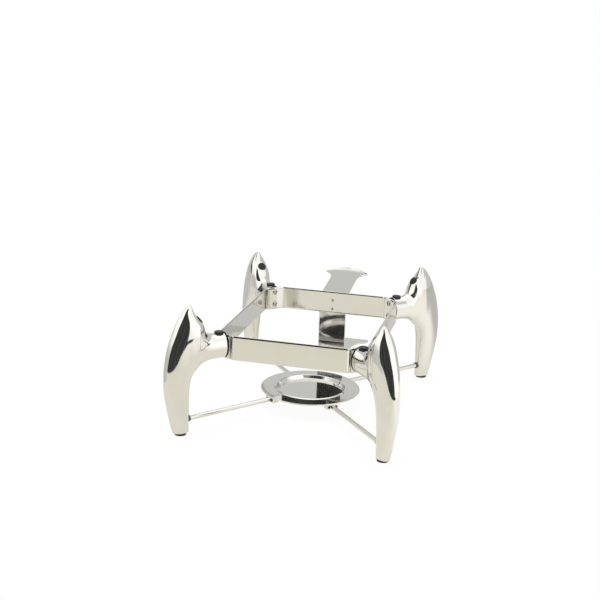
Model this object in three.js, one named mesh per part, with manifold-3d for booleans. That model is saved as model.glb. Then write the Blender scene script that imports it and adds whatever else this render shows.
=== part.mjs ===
// Chafing dish frame: four horn legs joined by a strap rectangle, a fuel dish on four rods
// and a lid holder behind the rear strap. Millimetres, Z up, the rubber feet stand on z = 0.
// X runs along the front strap, Y runs from the front to the lid holder. The origin lies on the
// table under the middle of the whole outline. The numbers below count from the dish's centre.

import * as THREE from "three";
import { mergeVertices } from "three/addons/utils/BufferGeometryUtils.js";
import Module from "manifold-3d";

const wasm = await Module();
wasm.setup();

// Overall sizes. A leg's axis stands outside the straps by its offset.
const STRAP_LONG_Y = 194.7;
const STRAP_SIDE_X = 149.5;
const LEG_OUT_X = 52.5;
const LEG_OUT_Y = 54.3;
const LEG_X = STRAP_SIDE_X + LEG_OUT_X;
const LEG_Y = STRAP_LONG_Y + LEG_OUT_Y;
const HORN_TOP = 264;
const HORN_BASE = 190;
const LEG_BOTTOM = 5;
const WALL = 2;
const GAP = 0.3;

// Height on the horn. It counts parts of the horn's rise over the arm, 74 in all.
function rise(parts) {
  return HORN_BASE + ((HORN_TOP - HORN_BASE) * parts) / 74;
}

// Arm of a leg, measured inward from the leg axis along the diagonal
const ARM_END = 91;
const ARM_TOP = 200;
const ARM_BASE = 147.5;
const ARM_HALF = 20;

// Strap rectangle
const STRAP_TOP = 197;
const STRAP_HEIGHT = 50;
const STRAP_THICK = 3;
const STRAP_BEND = 9;
const TAB_REACH = 17;
const GASKET_THICK = 2.4;
const PLUG_THICK = 7;

// Corner screws
const SCREW_R = 3;
const SCREW_HEAD_R = 6;
const SCREW_HEAD_H = 3.6;
const SCREW_LEVELS = [159, 187];
const HOLE_R = 3.4;

// Pads
const PAD_R = 9.5;
const PAD_RISE = 3.2;
const ARM_PAD_IN = 80.5;
const HORN_PAD_Z = rise(41);
const STEM_R = 2.4;
const STEM_LENGTH = 9;

// Rubber feet
const FOOT_R = 12;
const FOOT_PLUG = 9;

// Rods and fuel dish
const ROD_R = 4.8;
const ROD_Z = 30;
const DISH_R = 105.5;
const DISH_TOP = 37;
const DISH_SHEET = 1.8;
const RIM_DROP = 0.6;
const RECESS_R = 73.5;
const FLOOR_R = 68.5;
const FLOOR_TOP = 30;
const LUG_WIDTH = 25;
const LUG_DEPTH = 15;
const LUG_OUT = 1.5;
const LUG_FACE = DISH_R + LUG_OUT;
const LUG_BASE = 24.6;
const LUG_SCREW_OFF = 8.2;
const LUG_SCREW_R = 1.2;
const LUG_HEAD_R = 2.7;
const SLEEVE_R = 6.6;
const SLEEVE_LENGTH = 8;

// Lid holder: a strip with a wide curved head above and a wide level ledge below
const HOLDER_HALF = 31;
const HOLDER_THICK = 3;
const HOLDER_BEND = 5;
const HOLDER_ARM_Z = 184;
const HEAD_HALF = 50;
const HEAD_FLARE_Y = STRAP_LONG_Y + 110.3;
const HEAD_SIDE_Y = STRAP_LONG_Y + 147.3;
const HEAD_SAG = 22;
const HEAD_END_Y = STRAP_LONG_Y + 173.3;
const HEAD_END_Z = 208;
const HEAD_ROLL_R = 3;
const LEDGE_HALF = 60;
const LEDGE_Z = 40.5;
const LEDGE_FLARE_Y = STRAP_LONG_Y + 95.3;
const LEDGE_SIDE_Y = STRAP_LONG_Y + 135.3;
const LEDGE_Y = STRAP_LONG_Y + 151.3;
const HOLDER_LEAN = 2;
const HOLDER_FOOT_TOP = 78;
const RIVET_LEVELS = [156.5, 177];
const RIVET_R = 2.2;
const RIVET_HEAD_R = 3.8;
const RIVET_TAIL_R = 3;

const SEGMENTS = 16;

const steel = { color: 0xd8d5cc, roughness: 0.12, metalness: 1 };
const satin = { color: 0xb9b7b0, roughness: 0.35, metalness: 1 };
const rubber = { color: 0x1b1b1c, roughness: 0.75, metalness: 0 };

const group = new THREE.Group();
group.name = "chafing_dish_frame";
const stand = new THREE.Group();
group.add(stand);

// A closed body with its faces turned outward.
function toSolid(geometry) {
  const bare = geometry.clone();
  bare.deleteAttribute("normal");
  bare.deleteAttribute("uv");
  const merged = mergeVertices(bare, 1e-4);
  const spots = merged.attributes.position;
  const index = Uint32Array.from(merged.index.array);
  let volume = 0;
  const [a, b, c] = [new THREE.Vector3(), new THREE.Vector3(), new THREE.Vector3()];
  for (let i = 0; i < index.length; i += 3) {
    a.fromBufferAttribute(spots, index[i]);
    b.fromBufferAttribute(spots, index[i + 1]);
    c.fromBufferAttribute(spots, index[i + 2]);
    volume += a.dot(b.cross(c));
  }
  if (volume < 0) {
    for (let i = 0; i < index.length; i += 3) {
      [index[i + 1], index[i + 2]] = [index[i + 2], index[i + 1]];
    }
  }
  return new wasm.Manifold(new wasm.Mesh({
    numProp: 3,
    vertProperties: Float32Array.from(spots.array),
    triVerts: index,
  }));
}

function toGeometry(solid) {
  const data = solid.getMesh();
  const geometry = new THREE.BufferGeometry();
  const spots = Float32Array.from(data.vertProperties);
  const index = Uint32Array.from(data.triVerts);
  geometry.setAttribute("position", new THREE.BufferAttribute(spots, 3));
  geometry.setIndex(new THREE.BufferAttribute(index, 1));
  const facets = geometry.toNonIndexed();
  facets.computeVertexNormals();
  return facets;
}

function add(parent, name, geometry, look) {
  const mesh = new THREE.Mesh(geometry, new THREE.MeshStandardMaterial(look));
  mesh.name = name;
  parent.add(mesh);
}

// A group of the stand, turned about the vertical and moved on the table.
function spot(angle, x, y) {
  const place = new THREE.Group();
  place.rotation.z = angle;
  place.position.set(x, y, 0);
  stand.add(place);
  return place;
}

// A round bar between two points.
function bar(from, to, radius, segments = 16) {
  const axis = new THREE.Vector3().subVectors(to, from);
  const geometry = new THREE.CylinderGeometry(radius, radius, axis.length(), segments);
  axis.normalize();
  geometry.applyQuaternion(new THREE.Quaternion().setFromUnitVectors(new THREE.Vector3(0, 1, 0), axis));
  geometry.translate((from.x + to.x) / 2, (from.y + to.y) / 2, (from.z + to.z) / 2);
  return toSolid(geometry);
}

// A body turned about the axis from one point towards another. The profile holds radius and distance.
function turned(profile, from, towards, segments) {
  const points = profile.map(([r, h]) => new THREE.Vector2(r, h));
  const geometry = new THREE.LatheGeometry(points, segments);
  const axis = new THREE.Vector3().subVectors(towards, from).normalize();
  geometry.applyQuaternion(new THREE.Quaternion().setFromUnitVectors(new THREE.Vector3(0, 1, 0), axis));
  geometry.translate(from.x, from.y, from.z);
  return toSolid(geometry);
}

// A closed body through a row of rings with the same number of points, capped at both ends.
function loft(rings) {
  const count = rings[0].length;
  const positions = [];
  const index = [];
  for (const ring of rings) {
    for (const p of ring) {
      positions.push(p.x, p.y, p.z);
    }
  }
  for (const ring of [rings[0], rings[rings.length - 1]]) {
    const middle = ring.reduce((sum, p) => sum.add(p), new THREE.Vector3()).divideScalar(count);
    positions.push(middle.x, middle.y, middle.z);
  }
  const startMiddle = rings.length * count;
  const endMiddle = startMiddle + 1;
  for (let j = 0; j < count; j += 1) {
    const k = (j + 1) % count;
    index.push(startMiddle, k, j);
    const last = (rings.length - 1) * count;
    index.push(endMiddle, last + j, last + k);
    for (let i = 0; i < rings.length - 1; i += 1) {
      const a = i * count + j;
      const b = i * count + k;
      const c = (i + 1) * count + k;
      const d = (i + 1) * count + j;
      index.push(a, b, c, a, c, d);
    }
  }
  const geometry = new THREE.BufferGeometry();
  geometry.setAttribute("position", new THREE.Float32BufferAttribute(positions, 3));
  geometry.setIndex(index);
  return geometry;
}

// Smooth value between stations, each station being a row that starts with its position.
function between(stations, at, column) {
  let i = 0;
  while (i < stations.length - 2 && at > stations[i + 1][0]) {
    i += 1;
  }
  const slope = (k) => {
    const lo = Math.max(k - 1, 0);
    const hi = Math.min(k + 1, stations.length - 1);
    return (stations[hi][column] - stations[lo][column]) / (stations[hi][0] - stations[lo][0]);
  };
  const x0 = stations[i][0];
  const x1 = stations[i + 1][0];
  const h = x1 - x0;
  const t = (at - x0) / h;
  const y0 = stations[i][column];
  const y1 = stations[i + 1][column];
  const a = (1 + 2 * t) * (1 - t) * (1 - t);
  const b = t * (1 - t) * (1 - t);
  const c = t * t * (3 - 2 * t);
  const d = t * t * (t - 1);
  return a * y0 + b * h * slope(i) + c * y1 + d * h * slope(i + 1);
}

// Leg body: height, outer edge, inner edge, half thickness, fullness towards the inner side,
// bluntness of both ends.
const BODY = [
  [LEG_BOTTOM, -19.5, 15.5, 12.4, 0.05, 0],
  [18, -23.4, 15.4, 13.2, 0.08, 0],
  [40, -28.4, 15.2, 14.4, 0.12, 0],
  [65, -33.8, 15.3, 16.3, 0.16, 0],
  [90, -37.7, 15.5, 18.8, 0.2, 0.02],
  [115, -39.1, 18.6, 20.4, 0.22, 0.06],
  [140, -38, 26.9, 21.3, 0.25, 0.12],
  [165, -34.2, 33.2, 21.7, 0.28, 0.19],
  [HORN_BASE, -27.7, 38.2, 22.2, 0.28, 0.21],
  [rise(20), -20, 42.2, 22.1, 0.26, 0.18],
  [rise(35), -13.7, 39.6, 20, 0.22, 0.18],
  [rise(48), -6.6, 31.4, 16.2, 0.21, 0.2],
  [rise(58), -0.2, 25.3, 11.4, 0.22, 0.28],
  [rise(66), 6.3, 22.5, 7.1, 0.16, 0.36],
  [rise(71.5), 13.2, 20.7, 3.9, 0.05, 0.25],
  [HORN_TOP, 17.4, 19.3, 1, 0, 0],
];

// Leg arm: distance inward, top, underside, half width.
const ARM = [
  [20, rise(24), 128, 18],
  [28, rise(36), 130.5, 20.5],
  [36, rise(38.5), 136.5, 20.6],
  [41, rise(32.8), 140, 20.4],
  [46, rise(22.6), 143, 20.2],
  [52, 205, 145.4, ARM_HALF],
  [60, 201.2, 147, ARM_HALF],
  [70, ARM_TOP, ARM_BASE, ARM_HALF],
  [ARM_END, ARM_TOP, ARM_BASE, ARM_HALF],
];

function bodyRing(z, grow, count) {
  const outer = between(BODY, z, 1) - grow;
  const inner = between(BODY, z, 2) + grow;
  const half = Math.max(between(BODY, z, 3) + grow, 0.6);
  const full = between(BODY, z, 4);
  const blunt = between(BODY, z, 5);
  const ring = [];
  for (let j = 0; j < count; j += 1) {
    const angle = (2 * Math.PI * j) / count;
    const s = (outer + inner) / 2 + ((inner - outer) / 2) * Math.cos(angle);
    const wide = 1 + full * Math.cos(angle) + blunt * Math.cos(angle) ** 2;
    const v = half * Math.sin(angle) * wide;
    ring.push(new THREE.Vector3(s, v, z));
  }
  return ring;
}

function armRing(s, grow, count) {
  const top = between(ARM, s, 1) + grow;
  const base = between(ARM, s, 2) - grow;
  const half = between(ARM, s, 3) + grow;
  const ring = [];
  for (let j = 0; j < count; j += 1) {
    const angle = (2 * Math.PI * j) / count;
    const rise = (top + base) / 2 + ((top - base) / 2) * Math.sin(angle);
    ring.push(new THREE.Vector3(s, half * Math.cos(angle), rise));
  }
  return ring;
}

function legSkin(grow, from, to, armFrom, armTo, bodySteps, armSteps, count) {
  const levels = [];
  for (let i = 0; i <= bodySteps; i += 1) {
    levels.push(from + (to - from) * (1 - (1 - i / bodySteps) ** 1.45));
  }
  const reaches = [];
  for (let i = 0; i <= armSteps; i += 1) {
    reaches.push(armFrom + (armTo - armFrom) * (i / armSteps) ** 1.35);
  }
  const body = toSolid(loft(levels.map((z) => bodyRing(z, grow, count))));
  const arm = toSolid(loft(reaches.map((s) => armRing(s, grow, count))));
  return body.add(arm);
}

const hornSlope = (between(BODY, HORN_PAD_Z + 1, 2) - between(BODY, HORN_PAD_Z - 1, 2)) / 2;
const hornNormal = new THREE.Vector3(1, 0, -hornSlope).normalize();
const hornPoint = new THREE.Vector3(between(BODY, HORN_PAD_Z, 2), 0, HORN_PAD_Z);
const armPoint = new THREE.Vector3(ARM_PAD_IN, 0, ARM_TOP);
const upward = new THREE.Vector3(0, 0, 1);
const inward = new THREE.Vector3(1, 0, 0);

const skin = legSkin(0, LEG_BOTTOM, HORN_TOP, 20, ARM_END, 19, 9, SEGMENTS);
const looseSkin = legSkin(GAP, LEG_BOTTOM, HORN_TOP, 20, ARM_END, 19, 9, SEGMENTS);
const hollow = legSkin(-WALL, LEG_BOTTOM - 1, rise(38), 26, ARM_END + 1, 8, 4, 12);

function along(point, direction, distance) {
  return point.clone().addScaledVector(direction, distance);
}

function stemHole(point, direction) {
  return bar(along(point, direction, -STEM_LENGTH - 1), along(point, direction, 4), STEM_R + 2 * GAP, 8);
}

const shell = skin.subtract(hollow);
const legBody = shell.subtract(stemHole(hornPoint, hornNormal)).subtract(stemHole(armPoint, upward));

function padSolid(point, direction) {
  const profile = [
    [0, PAD_RISE],
    [PAD_R - 1.2, PAD_RISE],
    [PAD_R, PAD_RISE - 1.2],
    [PAD_R, -6],
    [0, -6],
  ];
  const disc = turned(profile, point, along(point, direction, 1), 16).subtract(looseSkin);
  const stem = bar(along(point, direction, -STEM_LENGTH), along(point, direction, 1), STEM_R, 8);
  return toGeometry(disc.add(stem));
}

const armPad = padSolid(armPoint, upward);
const hornPad = padSolid(hornPoint, hornNormal);

// The insert that closes the arm and takes the corner screws.
const plugRings = [ARM_END - GAP - PLUG_THICK, ARM_END - GAP].map((s) => armRing(s, -WALL - GAP, 12));
const gasketRings = [ARM_END + GAP, ARM_END + GAP + GASKET_THICK].map((s) => armRing(s, 0, SEGMENTS));
let plugSolid = toSolid(loft(plugRings));
let gasketSolid = toSolid(loft(gasketRings));
for (const z of SCREW_LEVELS) {
  const from = new THREE.Vector3(ARM_END - 20, 0, z);
  const to = new THREE.Vector3(ARM_END + 20, 0, z);
  plugSolid = plugSolid.subtract(bar(from, to, SCREW_R + GAP, 12));
  gasketSolid = gasketSolid.subtract(bar(from, to, HOLE_R, 12));
}
const plug = toGeometry(plugSolid);
const gasket = toGeometry(gasketSolid);

// Stack on the arm end: gasket, side strap tab, long strap tab, screw heads.
const SIDE_TAB_IN = ARM_END + GASKET_THICK + 2 * GAP + STRAP_THICK / 2;
const LONG_TAB_IN = SIDE_TAB_IN + STRAP_THICK + GAP;
const HEAD_IN = LONG_TAB_IN + STRAP_THICK / 2 + GAP;

function cornerScrew(z) {
  const profile = [
    [0, SCREW_HEAD_H],
    [SCREW_HEAD_R * 0.75, SCREW_HEAD_H * 0.85],
    [SCREW_HEAD_R, 0],
    [SCREW_R, 0],
    [SCREW_R, -(HEAD_IN - ARM_END) - PLUG_THICK - 2],
    [0, -(HEAD_IN - ARM_END) - PLUG_THICK - 2],
  ];
  const seat = new THREE.Vector3(HEAD_IN, 0, z);
  return toGeometry(turned(profile, seat, along(seat, inward, 1), 12));
}

function footSolid() {
  const centre = (between(BODY, LEG_BOTTOM, 1) + between(BODY, LEG_BOTTOM, 2)) / 2;
  const profile = [
    [0, 0],
    [FOOT_R - 1, 0],
    [FOOT_R, 1],
    [FOOT_R, LEG_BOTTOM - GAP],
    [0, LEG_BOTTOM - GAP],
  ];
  const base = new THREE.Vector3(centre, 0, 0);
  const disc = turned(profile, base, along(base, upward, 1), 20);
  const plugRing = bodyRing(LEG_BOTTOM, -WALL - 0.8, 10);
  const levels = [LEG_BOTTOM - 2, LEG_BOTTOM + FOOT_PLUG];
  const plugLoft = loft(levels.map((z) => plugRing.map((p) => p.clone().setZ(z))));
  return toGeometry(disc.add(toSolid(plugLoft)));
}
const foot = footSolid();

const CORNERS = [
  ["front_left", -1, -1],
  ["front_right", 1, -1],
  ["rear_left", -1, 1],
  ["rear_right", 1, 1],
];

// Rods lie on the lines from the dish centre to the leg axes.
const LEG_REACH = Math.hypot(LEG_X, LEG_Y);
const ROD_SKEW = Math.atan2(LEG_Y, LEG_X) - Math.PI / 4;
const ROD_START = LUG_FACE - 12;
const ROD_END = LEG_REACH - 8;
const SLEEVE_END = LEG_REACH - 10.5;
const SLEEVE_START = SLEEVE_END - SLEEVE_LENGTH;

function outOnRod(distance) {
  return new THREE.Vector3(distance, 0, ROD_Z);
}

// The two hands of the leg differ only by the side to which the rod bore is skewed.
function boredLeg(hand) {
  const skew = hand * ROD_SKEW;
  const from = new THREE.Vector3(4 * Math.cos(skew), 4 * Math.sin(skew), ROD_Z);
  const to = new THREE.Vector3(40 * Math.cos(skew), 40 * Math.sin(skew), ROD_Z);
  return toGeometry(legBody.subtract(bar(from, to, SLEEVE_R + GAP, 16)));
}
const legs = { 1: boredLeg(1), [-1]: boredLeg(-1) };
const screws = SCREW_LEVELS.map((z) => cornerScrew(z));
const rod = toGeometry(bar(outOnRod(ROD_START), outOnRod(ROD_END), ROD_R, 16));
const sleeveHole = bar(outOnRod(SLEEVE_START - 2), outOnRod(SLEEVE_END + 2), ROD_R + GAP, 16);
const sleeveBody = bar(outOnRod(SLEEVE_START), outOnRod(SLEEVE_END), SLEEVE_R, 16);
const sleeve = toGeometry(sleeveBody.subtract(sleeveHole));

for (const [corner, sx, sy] of CORNERS) {
  const place = spot(Math.atan2(-sy, -sx), sx * LEG_X, sy * LEG_Y);
  add(place, `leg_${corner}`, legs[sx * sy], steel);
  add(place, `rubber_foot_${corner}`, foot, rubber);
  add(place, `arm_pad_${corner}`, armPad, rubber);
  add(place, `horn_pad_${corner}`, hornPad, rubber);
  add(place, `arm_gasket_${corner}`, gasket, rubber);
  add(place, `arm_insert_${corner}`, plug, satin);
  add(place, `corner_screw_lower_${corner}`, screws[0], satin);
  add(place, `corner_screw_upper_${corner}`, screws[1], satin);
}

// Centre line with rounded corners, as points with the direction of their left side.
function roundedLine(points, radius, steps) {
  const line = [];
  for (let i = 0; i < points.length; i += 1) {
    const p = points[i];
    if (i === 0 || i === points.length - 1) {
      const q = i === 0 ? points[1] : points[i - 1];
      const d = i === 0 ? [q[0] - p[0], q[1] - p[1]] : [p[0] - q[0], p[1] - q[1]];
      const l = Math.hypot(d[0], d[1]);
      line.push([p[0], p[1], -d[1] / l, d[0] / l]);
      continue;
    }
    const before = [p[0] - points[i - 1][0], p[1] - points[i - 1][1]];
    const after = [points[i + 1][0] - p[0], points[i + 1][1] - p[1]];
    const a0 = Math.atan2(before[1], before[0]);
    let turn = Math.atan2(after[1], after[0]) - a0;
    turn = Math.atan2(Math.sin(turn), Math.cos(turn));
    if (Math.abs(turn) < 0.1) {
      const a = a0 + turn / 2;
      line.push([p[0], p[1], -Math.sin(a), Math.cos(a)]);
      continue;
    }
    const side = Math.sign(turn);
    const trim = radius * Math.tan(Math.abs(turn) / 2);
    const start = [p[0] - Math.cos(a0) * trim, p[1] - Math.sin(a0) * trim];
    const hub = [start[0] - Math.sin(a0) * side * radius, start[1] + Math.cos(a0) * side * radius];
    for (let j = 0; j <= steps; j += 1) {
      const a = a0 + (turn * j) / steps;
      const left = [-Math.sin(a), Math.cos(a)];
      line.push([hub[0] - left[0] * side * radius, hub[1] - left[1] * side * radius, left[0], left[1]]);
    }
  }
  return line;
}

function stripShape(points, radius, thickness, steps) {
  const line = roundedLine(points, radius, steps);
  const beside = (off) => line.map(([x, y, nx, ny]) => new THREE.Vector2(x + nx * off, y + ny * off));
  return new THREE.Shape(beside(thickness / 2).concat(beside(-thickness / 2).reverse()));
}

// Straps: a straight run whose ends turn by 45 degrees onto the arm ends. Drawn for the
// rear and the right side; the front and the left one are the same strap turned round.
function strap(isLong) {
  const depth = isLong ? LONG_TAB_IN : SIDE_TAB_IN;
  const reach = LEG_X + LEG_Y - depth * Math.SQRT2;
  const bend = isLong ? [reach - STRAP_LONG_Y, STRAP_LONG_Y] : [STRAP_SIDE_X, reach - STRAP_SIDE_X];
  const middle = [LEG_X - depth * Math.SQRT1_2, LEG_Y - depth * Math.SQRT1_2];
  const step = (isLong ? TAB_REACH : -TAB_REACH) * Math.SQRT1_2;
  const free = [middle[0] + step, middle[1] - step];
  const flip = isLong ? [-1, 1] : [1, -1];
  const other = [bend, free].map(([x, y]) => [x * flip[0], y * flip[1]]);
  const shape = stripShape([other[1], other[0], bend, free], STRAP_BEND, STRAP_THICK, 5);
  const geometry = new THREE.ExtrudeGeometry(shape, { depth: STRAP_HEIGHT, bevelEnabled: false });
  geometry.translate(0, 0, STRAP_TOP - STRAP_HEIGHT);
  let solid = toSolid(geometry);
  for (const side of [-1, 1]) {
    const [sx, sy] = isLong ? [side, 1] : [1, side];
    for (const z of SCREW_LEVELS) {
      const holes = [ARM_END - 5, ARM_END + 25].map((s) => {
        const offset = s * Math.SQRT1_2;
        return new THREE.Vector3(sx * (LEG_X - offset), sy * (LEG_Y - offset), z);
      });
      solid = solid.subtract(bar(holes[0], holes[1], HOLE_R, 12));
    }
  }
  return solid;
}

const holderBack = STRAP_LONG_Y + STRAP_THICK / 2 + GAP;
let rearStrap = strap(true);
for (const z of RIVET_LEVELS) {
  const from = new THREE.Vector3(0, STRAP_LONG_Y - 10, z);
  const to = new THREE.Vector3(0, STRAP_LONG_Y + 12, z);
  rearStrap = rearStrap.subtract(bar(from, to, RIVET_R + GAP, 12));
}
const turnedRound = spot(Math.PI, 0, 0);
const sideStrap = toGeometry(strap(false));
add(turnedRound, "strap_front", toGeometry(strap(true)), steel);
add(turnedRound, "strap_left", sideStrap, steel);
add(stand, "strap_rear", toGeometry(rearStrap), steel);
add(stand, "strap_right", sideStrap, steel);

// Fuel dish: flange that falls a little to its rim, raised bead, recess with a flat floor.
const dishTop = [
  [0, FLOOR_TOP],
  [FLOOR_R, FLOOR_TOP],
  [FLOOR_R + 1.6, FLOOR_TOP + 1.2],
  [RECESS_R - 1.6, DISH_TOP + 0.5],
  [RECESS_R - 0.4, DISH_TOP + 1.1],
  [RECESS_R + 0.8, DISH_TOP + 1],
  [RECESS_R + 4.6, DISH_TOP],
  [DISH_R - 1.5, DISH_TOP - RIM_DROP],
  [DISH_R, DISH_TOP - RIM_DROP - 1],
  [DISH_R, DISH_TOP - DISH_SHEET - 1],
];
const dishUnder = [
  [DISH_R - 1.6, DISH_TOP - DISH_SHEET - 1],
  [DISH_R - 2.2, DISH_TOP - DISH_SHEET],
  [RECESS_R + 1.2, DISH_TOP - DISH_SHEET],
  [FLOOR_R + 3.4, FLOOR_TOP - 0.2],
  [FLOOR_R, FLOOR_TOP - DISH_SHEET],
  [0, FLOOR_TOP - DISH_SHEET],
];
const dishCentre = new THREE.Vector3(0, 0, 0);
let dish = turned(dishTop.concat(dishUnder).reverse(), dishCentre, upward, 48);

// Lug under the flange with the rod in its middle and a screw on each side of it.
const LUG_TOP = DISH_TOP - DISH_SHEET - GAP;
const pinPoint = (side) => new THREE.Vector3(LUG_FACE + 0.1, side * LUG_SCREW_OFF, ROD_Z);

function lugSolid() {
  const block = new THREE.BoxGeometry(LUG_DEPTH, LUG_WIDTH, LUG_TOP - LUG_BASE);
  block.translate(LUG_FACE - LUG_DEPTH / 2, 0, (LUG_TOP + LUG_BASE) / 2);
  const bore = bar(outOnRod(ROD_START - 0.4), outOnRod(LUG_FACE + 4), ROD_R + GAP, 12);
  let solid = toSolid(block).subtract(bore);
  for (const side of [-1, 1]) {
    const seat = pinPoint(side);
    solid = solid.subtract(bar(along(seat, inward, -8), along(seat, inward, 2), LUG_SCREW_R + GAP, 8));
  }
  return toGeometry(solid);
}

function lugScrew(side) {
  const profile = [
    [0, 1.6],
    [LUG_HEAD_R - 0.3, 1.6],
    [LUG_HEAD_R, GAP],
    [LUG_SCREW_R, GAP],
    [LUG_SCREW_R, -7],
    [0, -7],
  ];
  const seat = pinPoint(side);
  return toGeometry(turned(profile, seat, along(seat, inward, 1), 10));
}

const lug = lugSolid();
const lugScrews = [lugScrew(-1), lugScrew(1)];
const clear = new THREE.BoxGeometry(LUG_DEPTH + 2 * GAP, LUG_WIDTH + 2 * GAP, 12);
clear.translate(LUG_FACE - LUG_DEPTH / 2, 0, LUG_TOP + GAP - 6);
for (const [corner, sx, sy] of CORNERS) {
  const angle = Math.atan2(sy * LEG_Y, sx * LEG_X);
  const place = spot(angle, 0, 0);
  add(place, `fuel_rod_${corner}`, rod, steel);
  add(place, `rod_sleeve_${corner}`, sleeve, rubber);
  add(place, `rod_lug_${corner}`, lug, steel);
  add(place, `lug_screw_a_${corner}`, lugScrews[0], rubber);
  add(place, `lug_screw_b_${corner}`, lugScrews[1], rubber);
  const room = clear.clone().rotateZ(angle);
  dish = dish.subtract(toSolid(room));
}
add(stand, "fuel_dish", toGeometry(dish), steel);

// Lid holder: one strip that runs from the ledge up behind the rear strap and back to the head.
const holderMid = holderBack + HOLDER_THICK / 2;
const holderLine = [
  [LEDGE_Y, LEDGE_Z],
  [holderMid + HOLDER_LEAN, LEDGE_Z],
  [holderMid + HOLDER_LEAN, HOLDER_FOOT_TOP],
  [holderMid, STRAP_TOP - STRAP_HEIGHT],
  [holderMid, HOLDER_ARM_Z],
  [HEAD_END_Y, HEAD_END_Z],
];
const holderShape = stripShape(holderLine, HOLDER_BEND, HOLDER_THICK, 5);
const holderLook = { depth: 2 * LEDGE_HALF + 10, bevelEnabled: false };
const holderRun = new THREE.ExtrudeGeometry(holderShape, holderLook);
holderRun.applyMatrix4(new THREE.Matrix4().makeBasis(
  new THREE.Vector3(0, 1, 0),
  new THREE.Vector3(0, 0, 1),
  new THREE.Vector3(1, 0, 0),
));
holderRun.translate(-LEDGE_HALF - 5, 0, 0);

function prism(points, low, high) {
  const shape = new THREE.Shape(points.map(([x, y]) => new THREE.Vector2(x, y)));
  const geometry = new THREE.ExtrudeGeometry(shape, { depth: high - low, bevelEnabled: false });
  geometry.translate(0, 0, low);
  return toSolid(geometry);
}

// Plan outline of a strip end that widens, closed by an arc or by a straight run.
function flare(half, start, end, sag, straight) {
  const edge = [];
  for (let i = 0; i <= 8; i += 1) {
    const t = i / 8;
    edge.push([HOLDER_HALF + (half - HOLDER_HALF) * t ** 2.4, start + (end - start) * t]);
  }
  const back = [];
  for (let i = 1; i < 12; i += 1) {
    const t = (i / 12) * 2 - 1;
    back.push([-half * t, end + straight + sag * (1 - t * t)]);
  }
  if (straight) {
    back.unshift([half, end + straight]);
    back.push([-half, end + straight]);
  }
  const mirrored = edge.map(([x, y]) => [-x, y]).reverse();
  return edge.concat(back, mirrored);
}

const stemArea = [
  [-HOLDER_HALF, holderBack - 5],
  [HOLDER_HALF, holderBack - 5],
  [HOLDER_HALF, HEAD_FLARE_Y + 1],
  [-HOLDER_HALF, HEAD_FLARE_Y + 1],
];
const headArea = flare(HEAD_HALF, HEAD_FLARE_Y, HEAD_SIDE_Y, HEAD_SAG, 0);
const ledgeArea = flare(LEDGE_HALF, LEDGE_FLARE_Y, LEDGE_SIDE_Y, 0, 26);
const trim = prism(stemArea, 0, HORN_TOP).add(prism(headArea, HOLDER_ARM_Z - 34, HORN_TOP)).add(prism(ledgeArea, 0, 100));
let holder = toSolid(holderRun).intersect(trim);

// Rolled edge along the head.
const rollPoints = [];
for (let i = 0; i <= 12; i += 1) {
  const t = (i / 12) * 2 - 1;
  const y = HEAD_SIDE_Y + HEAD_SAG * (1 - t * t);
  const slope = (HEAD_END_Z - HOLDER_ARM_Z) / (HEAD_END_Y - holderMid);
  rollPoints.push(new THREE.Vector3(HEAD_HALF * t, y, HOLDER_ARM_Z + slope * (y - holderMid) + 1));
}
const rollShape = new THREE.Shape();
rollShape.absarc(0, 0, HEAD_ROLL_R, 0, 2 * Math.PI, false);
const rollPath = new THREE.CatmullRomCurve3(rollPoints);
const rollLook = { steps: 16, curveSegments: 5, extrudePath: rollPath, bevelEnabled: false };
const roll = new THREE.ExtrudeGeometry(rollShape, rollLook);
holder = holder.add(toSolid(roll));

const rivets = RIVET_LEVELS.map((z) => {
  const from = new THREE.Vector3(0, holderBack - 4, z);
  const to = new THREE.Vector3(0, holderBack + 12, z);
  holder = holder.subtract(bar(from, to, RIVET_R + GAP, 12));
  const front = STRAP_LONG_Y - STRAP_THICK / 2 - 0.1;
  const rear = holderBack + HOLDER_THICK + 0.1;
  const seat = new THREE.Vector3(0, front, z);
  const profile = [
    [0, 1.1],
    [RIVET_HEAD_R - 1.2, 0.8],
    [RIVET_HEAD_R, 0],
    [RIVET_R, 0],
    [RIVET_R, -(rear - front)],
    [RIVET_TAIL_R, -(rear - front)],
    [RIVET_TAIL_R - 0.8, -(rear - front) - 1.6],
    [0, -(rear - front) - 2],
  ];
  return toGeometry(turned(profile, seat, along(seat, new THREE.Vector3(0, -1, 0), 1), 14));
});
add(stand, "lid_holder", toGeometry(holder), steel);
add(stand, "lid_holder_rivet_lower", rivets[0], satin);
add(stand, "lid_holder_rivet_upper", rivets[1], satin);

// The middle of the outline comes over the origin.
const outline = new THREE.Box3().setFromObject(stand, true);
stand.position.y = -(outline.min.y + outline.max.y) / 2;

export default group;
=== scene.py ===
"""Chafing dish frame: four polished horn legs, flat straps, a fuel dish on rods and a lid holder.

The packed model is the fixed frame. Each operator builds one group of like pieces on it, in metres,
and each piece stands for the plain solid of the frame that it hides.
"""

import math

import bmesh
import bpy
import numpy as np
from bpy.props import FloatProperty, FloatVectorProperty, PointerProperty
from mathutils import Matrix, Vector


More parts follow.
